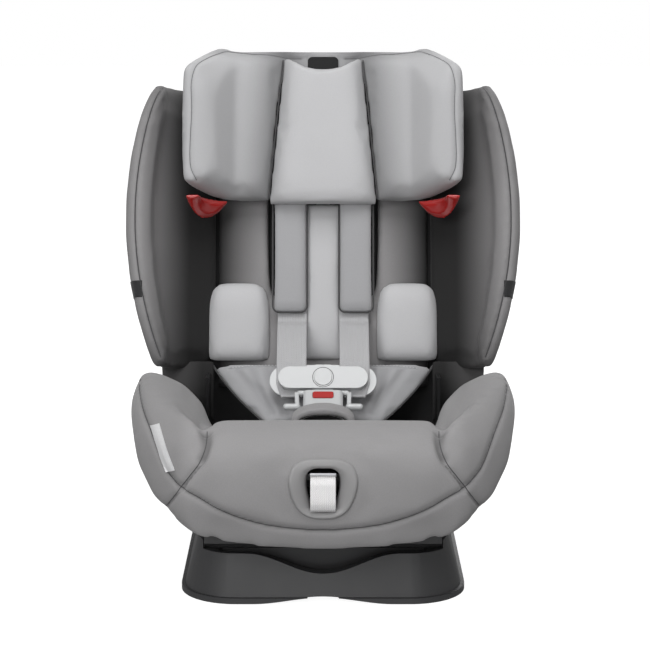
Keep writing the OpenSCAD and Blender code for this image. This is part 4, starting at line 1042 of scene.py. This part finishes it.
def make_bezel():
    rim, hole = closed_line(BEZEL_RIM), closed_line(BEZEL_HOLE)
    tree = surface_of(seat_cover)
    rest = []
    for x, z in rim * 1.05:
        spot = from_front(tree, x, BEZEL_Z + z)[0]
        rest.append(spot.y / MM if spot else COVER_Y)
    rest = np.array(rest)
    rest = sum(np.roll(rest, k) for k in range(-4, 5)) / 9
    spots, count = [], len(rim)
    for share, sunk, out in BEZEL_RINGS:
        for (x, z), y in zip(hole + (rim - hole) * share, rest * (1 - sunk) + HOLE_Y * sunk + out):
            spots.append((x * MM, y * MM, (BEZEL_Z + z) * MM))
    piece = from_points("bezel", spots, grid_faces(len(BEZEL_RINGS), count, ring=True))
    thicken(piece, 1.2, -1)
    finer(piece)
    groove = [Vector(spots[count + j % count]) for j in range(count + 1)]
    # painted shadow: a dark cord round the bezel stands for the shaded gap between bezel and cover
    piping("bezel_edge", [groove], 0.9, DARK_THREAD_AND_SHADOW, "seat", "fabric_black")
    return wear(piece, "seat", "dark_plastic", "adjuster_bezel", material=BEZEL)


bezel = make_bezel()
print("bezel:", len(bezel.data.polygons), "faces")

# %% [markdown]
# A bare black tag is folded over the edge of each wing, where a belt guide is marked. It is a patch of the
# wing's own skin, cut out by planes and lifted a little.

# %% Wing tags


def make_wing_tag(piece, side):
    patch = bmesh.new()
    patch.from_mesh(piece.data)
    s = 1 if side == "_right" else -1
    for spot, way in ((on_back(0, 0, 150), -UP_BACK), (on_back(0, 0, 171), UP_BACK),
                      (on_back(s * wing_edge(160, 11.5), 0, 0), Vector((-s, 0, 0))), (on_back(0, 62, 0), -OUT_BACK)):
        bmesh.ops.bisect_plane(patch, geom=patch.verts[:] + patch.edges[:] + patch.faces[:], plane_co=spot,
                               plane_no=way, clear_outer=True)
    tag = from_shape("wing_tag" + side, patch)
    thicken(tag, 0.7, 1)
    return wear(bake(tag), "seat", "fabric_black", material=TAG_BLACK)


f = Finish("black_tag", sheen_weight=0.2, specular_ior_level=0.3)
TAG_BLACK = f.finish(f.mix(f.noise(1500), (0.012, 0.012, 0.013), (0.024, 0.024, 0.025)), f.noise(40) * 0.2 + 0.55,
                     f.bump(weave_height(f, WEAVE * 2), 0.3, 0.0003))
wing_tags = [make_wing_tag(piece, side) for piece, side in zip(wings, ("_right", "_left"))]
print("wing tags:", [len(t.data.polygons) for t in wing_tags], "faces")

# %% [markdown]
# The insert's lower pad is a hexagon that lies over the bite. A row of pale stitches runs along its upper
# edge, dark cords close its slanting edges, and the cloth puckers towards the middle, where it is pinched
# under the buckle. Each pucker carries a faint painted shade.

# %% Insert details
INSERT_A, INSERT_B = np.array((79.0, 232.0)), np.array((-2.0, 173.0))
insert_way = (INSERT_B - INSERT_A) / np.linalg.norm(INSERT_B - INSERT_A)
insert_out = np.array((insert_way[1], -insert_way[0]))


def insert_spot(x, t, lift):
    y, z = INSERT_A + (INSERT_B - INSERT_A) * t - insert_out * 5 * math.sin(math.pi * t) + insert_out * lift
    return Vector((x * MM, y * MM, z * MM))


def insert_half(t):
    return 143 + (74 - 143) * t ** 1.15


top_row = [settle(insert_seat, [insert_spot(x, 0.1, 5) for x in range(s * 48, s * 138, s * 15)]) for s in (1, -1)]
puckers = [settle(insert_seat, [insert_spot(x + dx * t, 0.16 + t * 0.7, 6) for t in (0, 0.3, 0.6, 1)])
           for x, dx in ((104, -42), (84, -16), (62, -12), (-70, 18), (-92, 24), (-112, 46), (-52, 4))]
# painted shade: a faint, wide dark mark along each pucker
sew(insert_seat, *puckers, depth=3.2, width=7.5, thread=5.0, mark=0.16)
sew(insert_seat, *top_row, depth=1.2, width=2.0, thread=0.7, mark=0.6)
stitch("insert_stitches", top_row, PALE_THREAD, "seat", "fabric_light", spacing=4.2, length=2.8, lift=0.1)
edges = [[insert_spot(s * (insert_half(t) + 0.6), t, -2.0) for t in np.linspace(0.04, 0.97, 24)] for s in (1, -1)]
piping("insert_piping", edges, 1.3, DARK_THREAD_AND_SHADOW, "seat", "fabric_black")


def pad_rim(x0, x1, h0, h1, d, corner):
    """An open U down one side, round the bottom and up the other."""
    line = [on_back(x0, d, h1), on_back(x0, d, h0 + corner)]
    for a in range(180, 361, 15):
        middle, turn = x0 + corner if a < 270 else x1 - corner, math.radians(a)
        line.append(on_back(middle + corner * math.cos(turn), d, h0 + corner + corner * math.sin(turn)))
    return line + [on_back(x1, d, h1)]


pad_rims = [pad_rim(*sorted((s * 20.6, s * 65.4)), 138.4, 292, 36.4, 9) for s in (1, -1)]
piping("shoulder_pad_piping", pad_rims, 1.1, DARK_THREAD_AND_SHADOW, "seat", "fabric_black")
print("insert and shoulder pads sewn")

# %% [markdown]
# A black sheet closes the crotch sleeve's mouth; it is painted shadow for the sleeve's dark inside. It is a
# dished oval whose edge is roughened by a seeded noise.

# %% Sleeve mouth shadow
SLEEVE_HALF, SLEEVE_Z, SLEEVE_FLOOR = (29.5, 9.0), 190.5, 178.5
SHADOW_RINGS = [(-78, 1.1), (-80.6, 1.04), (-80.4, 0.94), (-77, 0.88), (-71, 0.84), (-69, 0.6), (-69, 0.02)]


def make_sleeve_shadow():
    chance = np.random.RandomState(7)
    spots, count = [], 96
    for y, share in SHADOW_RINGS:
        for i in range(count):
            a = 2 * math.pi * i / count
            fuzz = 0.05 * (chance.rand() - 0.5) if 0.5 < share < 1.08 else 0
            wide = share + fuzz
            x, z = SLEEVE_HALF[0] * wide * math.cos(a), SLEEVE_Z + SLEEVE_HALF[1] * wide * math.sin(a)
            spots.append((x * MM, (y + 12 * fuzz) * MM, max(z, SLEEVE_FLOOR) * MM))
    piece = finer(from_points("sleeve_shadow", spots, grid_faces(len(SHADOW_RINGS), count, ring=True)))
    # painted shadow: a near-black fuzzy finish stands for the shade inside the sleeve
    f = Finish("sleeve_shadow_black", sheen_weight=0.6, roughness=0.95, specular_ior_level=0.1)
    shadow_fuzz = f.noise(700, 4, 0.8)
    f.finish(f.mix(shadow_fuzz, (0.004, 0.004, 0.004), (0.02, 0.02, 0.02)), normal=f.bump(shadow_fuzz, 0.8, 0.001))
    return wear(piece, "seat", "fabric_black", material=f.material, fill=0.3)


print("sleeve shadow:", len(make_sleeve_shadow().data.polygons), "faces")

# %% [markdown]
# The chest clip's button sits in a recess, drawn as a thin dark ring of painted shadow, and a small grey latch
# shows below its body. Their places are measured on the imported clip, along the way it leans.

# %% Clip details
CLIP_LEAN = math.radians(33.7)
CLIP_UP = Vector((0, math.sin(CLIP_LEAN), math.cos(CLIP_LEAN)))
CLIP_OUT = Vector((0, -CLIP_UP.z, CLIP_UP.y))


def reach_of(name, way):
    along = [v.co.dot(way) for v in nodes[name].data.vertices]
    return min(along), max(along)


def clip_spot(x, up, out):
    return Vector((x, 0, 0)) + CLIP_UP * up + CLIP_OUT * out


def circle_line(x, up, out, radius):
    turns = np.linspace(0, 2 * math.pi, 49)
    return [clip_spot(x + radius * math.cos(a), up + radius * math.sin(a), out) for a in turns]


button_x = sum(reach_of("chest_clip_button", Vector((1, 0, 0)))) / 2
button_up = sum(reach_of("chest_clip_button", CLIP_UP)) / 2
body_front = reach_of("chest_clip_body", CLIP_OUT)[1]
# painted shadow: a thin dark ring stands for the shade in the recess round the button
ring = circle_line(button_x, button_up, body_front - 0.0001, 0.0132)
piping("clip_ring", [ring], 0.4, DARK_THREAD_AND_SHADOW, "seat", "white_plastic")


def make_latch():
    low = reach_of("chest_clip_body", CLIP_UP)[0]
    shape = bmesh.new()
    bmesh.ops.create_cube(shape, size=1)
    for v in shape.verts:
        x, up, out = v.co
        width = 0.025 - 0.006 * (up < 0)
        v.co = clip_spot(x * width, low - 0.0015 + up * 0.010, body_front - 0.0065 + out * 0.005)
    piece = from_shape("clip_latch", shape)
    edges = piece.modifiers.new("edges", "BEVEL")
    edges.width = 0.0014
    edges.segments = 4
    plastic = moulded("latch_plastic", (0.36, 0.39, 0.44), rough=0.35, grain=0.08)
    return wear(smooth_faces(bake(piece)), "seat", "white_plastic", material=plastic)


print("clip latch:", len(make_latch().data.polygons), "faces")

# %% [markdown]
# A bare satin tag is sewn flat on one bolster, beside its outer seam. It is a small grid laid onto the cover.

# %% Tag


def make_tag():
    tree = surface_of(seat_cover)
    corner, along, across = np.array((-201.0, 214.0)), np.array((20.0, -46.0)), np.array((11.0, 4.2))
    spots, rows, columns = [], 15, 5
    for i in range(rows):
        for j in range(columns):
            x, z = corner + along * i / (rows - 1) + across * j / (columns - 1)
            spot, normal, _, _ = from_front(tree, x, z)
            spots.append(spot + normal * 0.7 * MM)
    piece = from_points("bolster_tag", spots, grid_faces(rows, columns))
    thicken(piece, 0.9)
    bake(piece)
    f = Finish("satin_tag", metallic=0.35, sheen_weight=0.2)
    ribs = f.noise(900, 2, 0.6, stretch=(1, 1, 0.1))
    f.finish(f.mix(ribs, (0.62, 0.62, 0.63), (0.82, 0.82, 0.83)), ribs * 0.2 + 0.35)
    return wear(piece, "seat", "fabric_light", material=f.material)


print("bolster tag:", len(make_tag().data.polygons), "faces")

# %% [markdown]
# Straps are flat strips and are modelled directly: a rounded section swept along the same route as the
# solid, with a UV map in metres for the weave.

# %% Straps


def webbing(name, route, x, width, thick, material, slot, replaced, taper=None):
    """A strip along (y, z) points, at x, with rounded selvages."""
    path = smooth_line([(y * MM, z * MM) for y, z in route], 0.003)
    profile = [(-1, 0), (-0.985, 0.8), (-0.93, 1.12), (-0.8, 1), (-0.4, 0.96), (0, 0.95), (0.4, 0.96), (0.8, 1),
               (0.93, 1.12), (0.985, 0.8), (1, 0), (0.985, -0.8), (0.93, -1.12), (0.8, -1), (0, -0.95), (-0.8, -1),
               (-0.93, -1.12), (-0.985, -0.8)]
    run = np.concatenate([[0], np.cumsum([np.linalg.norm(b - a) for a, b in zip(path, path[1:])])])
    spots, count = [], len(profile)
    for i, p in enumerate(path):
        way = path[min(i + 1, len(path) - 1)] - path[max(i - 1, 0)]
        way /= max(np.linalg.norm(way), 1e-9)
        across = np.array((-way[1], way[0]))
        half = width / 2 * (taper(run[i] / MM) if taper else 1) * MM
        for u, v in profile:
            y, z = p + across * v * thick / 2 * MM
            spots.append((x * MM + u * half, y, z))
    faces = grid_faces(len(path), count, ring=True)
    faces += [tuple(range(count))[::-1], tuple((len(path) - 1) * count + j for j in range(count))]
    piece = from_points(name, spots, faces)
    mesh = piece.data
    layer = mesh.uv_layers.new(name="weave")
    for loop in mesh.loops:
        row, column = divmod(loop.vertex_index, count)
        layer.data[loop.index].uv = (profile[column][0] * width / 2 * MM, run[row])
    tidy = bmesh.new()
    tidy.from_mesh(mesh)
    bmesh.ops.recalc_face_normals(tidy, faces=tidy.faces)
    tidy.to_mesh(mesh)
    tidy.free()
    return wear(smooth_faces(piece), "seat", slot, replaced, material=material)


def back_yz(d, h):
    spot = on_back(0, d, h) / MM
    return spot.y, spot.z


WEB_W, WEB_T, STRAP_X = 38, 1.6, 40
CLIP = np.array((16.0, 222.0))
clip_way = np.array((math.sin(CLIP_LEAN), math.cos(CLIP_LEAN)))
STRAP_OUT, STRAP_REAR, TURN_H = 31.5, -12, 308
turn_mid, turn_r = (STRAP_OUT + STRAP_REAR) / 2, (STRAP_OUT - STRAP_REAR) / 2
strap_route = [(-4.1, 205.9), (-0.6, 203.3), CLIP - 19 * clip_way, CLIP + 22 * clip_way,
               CLIP + 27 * clip_way + (1, -0.5), (58, 263), (84, 277)]
strap_route += [back_yz(STRAP_OUT, h) for h in (132, 170, 220, 270)]
strap_route += [back_yz(turn_mid + turn_r * math.cos(math.radians(a)), TURN_H + turn_r * math.sin(math.radians(a)))
                for a in range(0, 181, 15)]
strap_route += [back_yz(STRAP_REAR, 250), back_yz(STRAP_REAR, 111)]
straps = [webbing("harness_" + side, strap_route, s * STRAP_X, WEB_W, WEB_T, WEBBING, "webbing",
                  "harness_strap_" + side, taper=lambda run: min(1, 0.56 + 0.44 * run / 26))
          for side, s in (("left", -1), ("right", 1))]
central_route = [back_yz(STRAP_REAR, h) for h in (89, 60, 24)] + [back_yz(STRAP_REAR - 0.6, 8)]
central_route += [(106, 142), (100, 135), (92, 132.2), (70, 131.5), (0, 131.8), (-80, 133), (-150, 148), (-207, 162)]
straps.append(webbing("central_webbing", central_route, 0, WEB_W, WEB_T, WEBBING, "webbing", "central_strap"))
BUCKLE = np.array((-40.0, 190.0))
crotch_route = [(-60, 137.6), (-60, 180), (-59, 184), (-56, 186.6), (-51, 187.6)]
crotch_route += [BUCKLE + step for step in ((-5, -2), (-2, -1), (5.2, 3))]
straps.append(webbing("crotch_webbing", crotch_route, 0, WEB_W, WEB_T, WEBBING, "webbing", "crotch_strap"))
tail_route = [(-207.5, 161.4), (-236, 166.5), (-256, 170.5)]
tail_route += [(-262 + 11 * math.cos(math.radians(a)), 160 + 11 * math.sin(math.radians(a)))
               for a in range(80, 181, 20)]
tail_route += [(-275.2, 150), (-276, 141), (-273, 133)]
straps.append(webbing("adjuster_tail", tail_route, 0, 29, WEB_T, TAIL, "webbing_light", "adjuster_strap"))
print("straps:", [strap.name for strap in straps])

# %% [markdown]
# Guards under the headrest wings are moulded in a glossy red plastic. Their solid has few facets, so a
# smooth copy stands for each.

# %% Side guards
for side in ("_left", "_right"):
    guard = finer(even_net(gather("guard" + side, "side_guard" + side), 2, 6))
    wear(guard, "headrest", "red_plastic", "side_guard" + side, material=RED)
    print(guard.name, len(guard.data.polygons), "faces")

# %% [markdown]
# The stage is a plain white floor under broad soft lamps. The picture has no horizon, so the floor and the sky
# show the camera the same white, and the sky lights the seat more from above than from below. Standard colour
# keeps that white pure.

# %% Floor and light


def make_stage():
    f = Finish("floor", roughness=0.9, emission_color=(1, 1, 1, 1), emission_strength=0.93)
    f.finish(color=f.mix(f.noise(2), (0.3, 0.3, 0.3), (0.32, 0.32, 0.32)))
    floor = from_points("floor", [(-9, -9, 0), (9, -9, 0), (9, 9, 0), (-9, 9, 0)], [(0, 1, 2, 3)])
    floor.data.materials.append(f.material)
    floor.visible_diffuse = floor.visible_glossy = False


def make_sky():
    world = bpy.data.worlds.new("studio")
    scene.world = world
    world.use_nodes = True
    tree = world.node_tree
    shown = tree.nodes["Background"]
    shown.inputs["Color"].default_value = (1, 1, 1, 1)
    soft = tree.nodes.new("ShaderNodeBackground")
    height = tree.nodes.new("ShaderNodeSeparateXYZ")
    tree.links.new(tree.nodes.new("ShaderNodeTexCoord").outputs["Generated"], height.inputs[0])
    strength = tree.nodes.new("ShaderNodeMapRange")
    for socket, value in zip(strength.inputs[1:5], (-0.6, 1.0, SKY_LOW, SKY_HIGH)):
        socket.default_value = value
    tree.links.new(height.outputs["Z"], strength.inputs[0])
    tree.links.new(strength.outputs[0], soft.inputs["Strength"])
    choose = tree.nodes.new("ShaderNodeMixShader")
    tree.links.new(tree.nodes.new("ShaderNodeLightPath").outputs["Is Camera Ray"], choose.inputs[0])
    tree.links.new(soft.outputs[0], choose.inputs[1])
    tree.links.new(shown.outputs[0], choose.inputs[2])
    tree.links.new(choose.outputs[0], tree.nodes["World Output"].inputs["Surface"])


def lamp(name, place, target, size, power):
    data = bpy.data.lights.new(name, "AREA")
    data.size = size
    data.energy = power
    piece = bpy.data.objects.new(name, data)
    scene.collection.objects.link(piece)
    piece.location = place
    piece.rotation_euler = (Vector(target) - Vector(place)).to_track_quat("-Z", "Y").to_euler()


SKY_LOW, SKY_HIGH = 0.31, 0.56
make_stage()
make_sky()
scene.view_settings.view_transform = "Standard"
lamp("top_lamp", (0, -0.9, 2.4), (0, 0, 0.3), 1.4, 30)
lamp("front_lamp", (-1.1, -2.4, 1.4), (0, 0, 0.3), 1.2, 24)
lamp("back_lamp", (0.8, 2.4, 1.6), (0, 0, 0.3), 1.2, 24)
lamp("low_lamp", (0, -2.2, 0.22), (0, -0.2, 0.12), 1.0, 8)
print("lamps:", [light.name for light in bpy.data.lights])

# %% [markdown]
# Last, the view layer is brought up to date.

# %% Last update
bpy.context.view_layer.update()
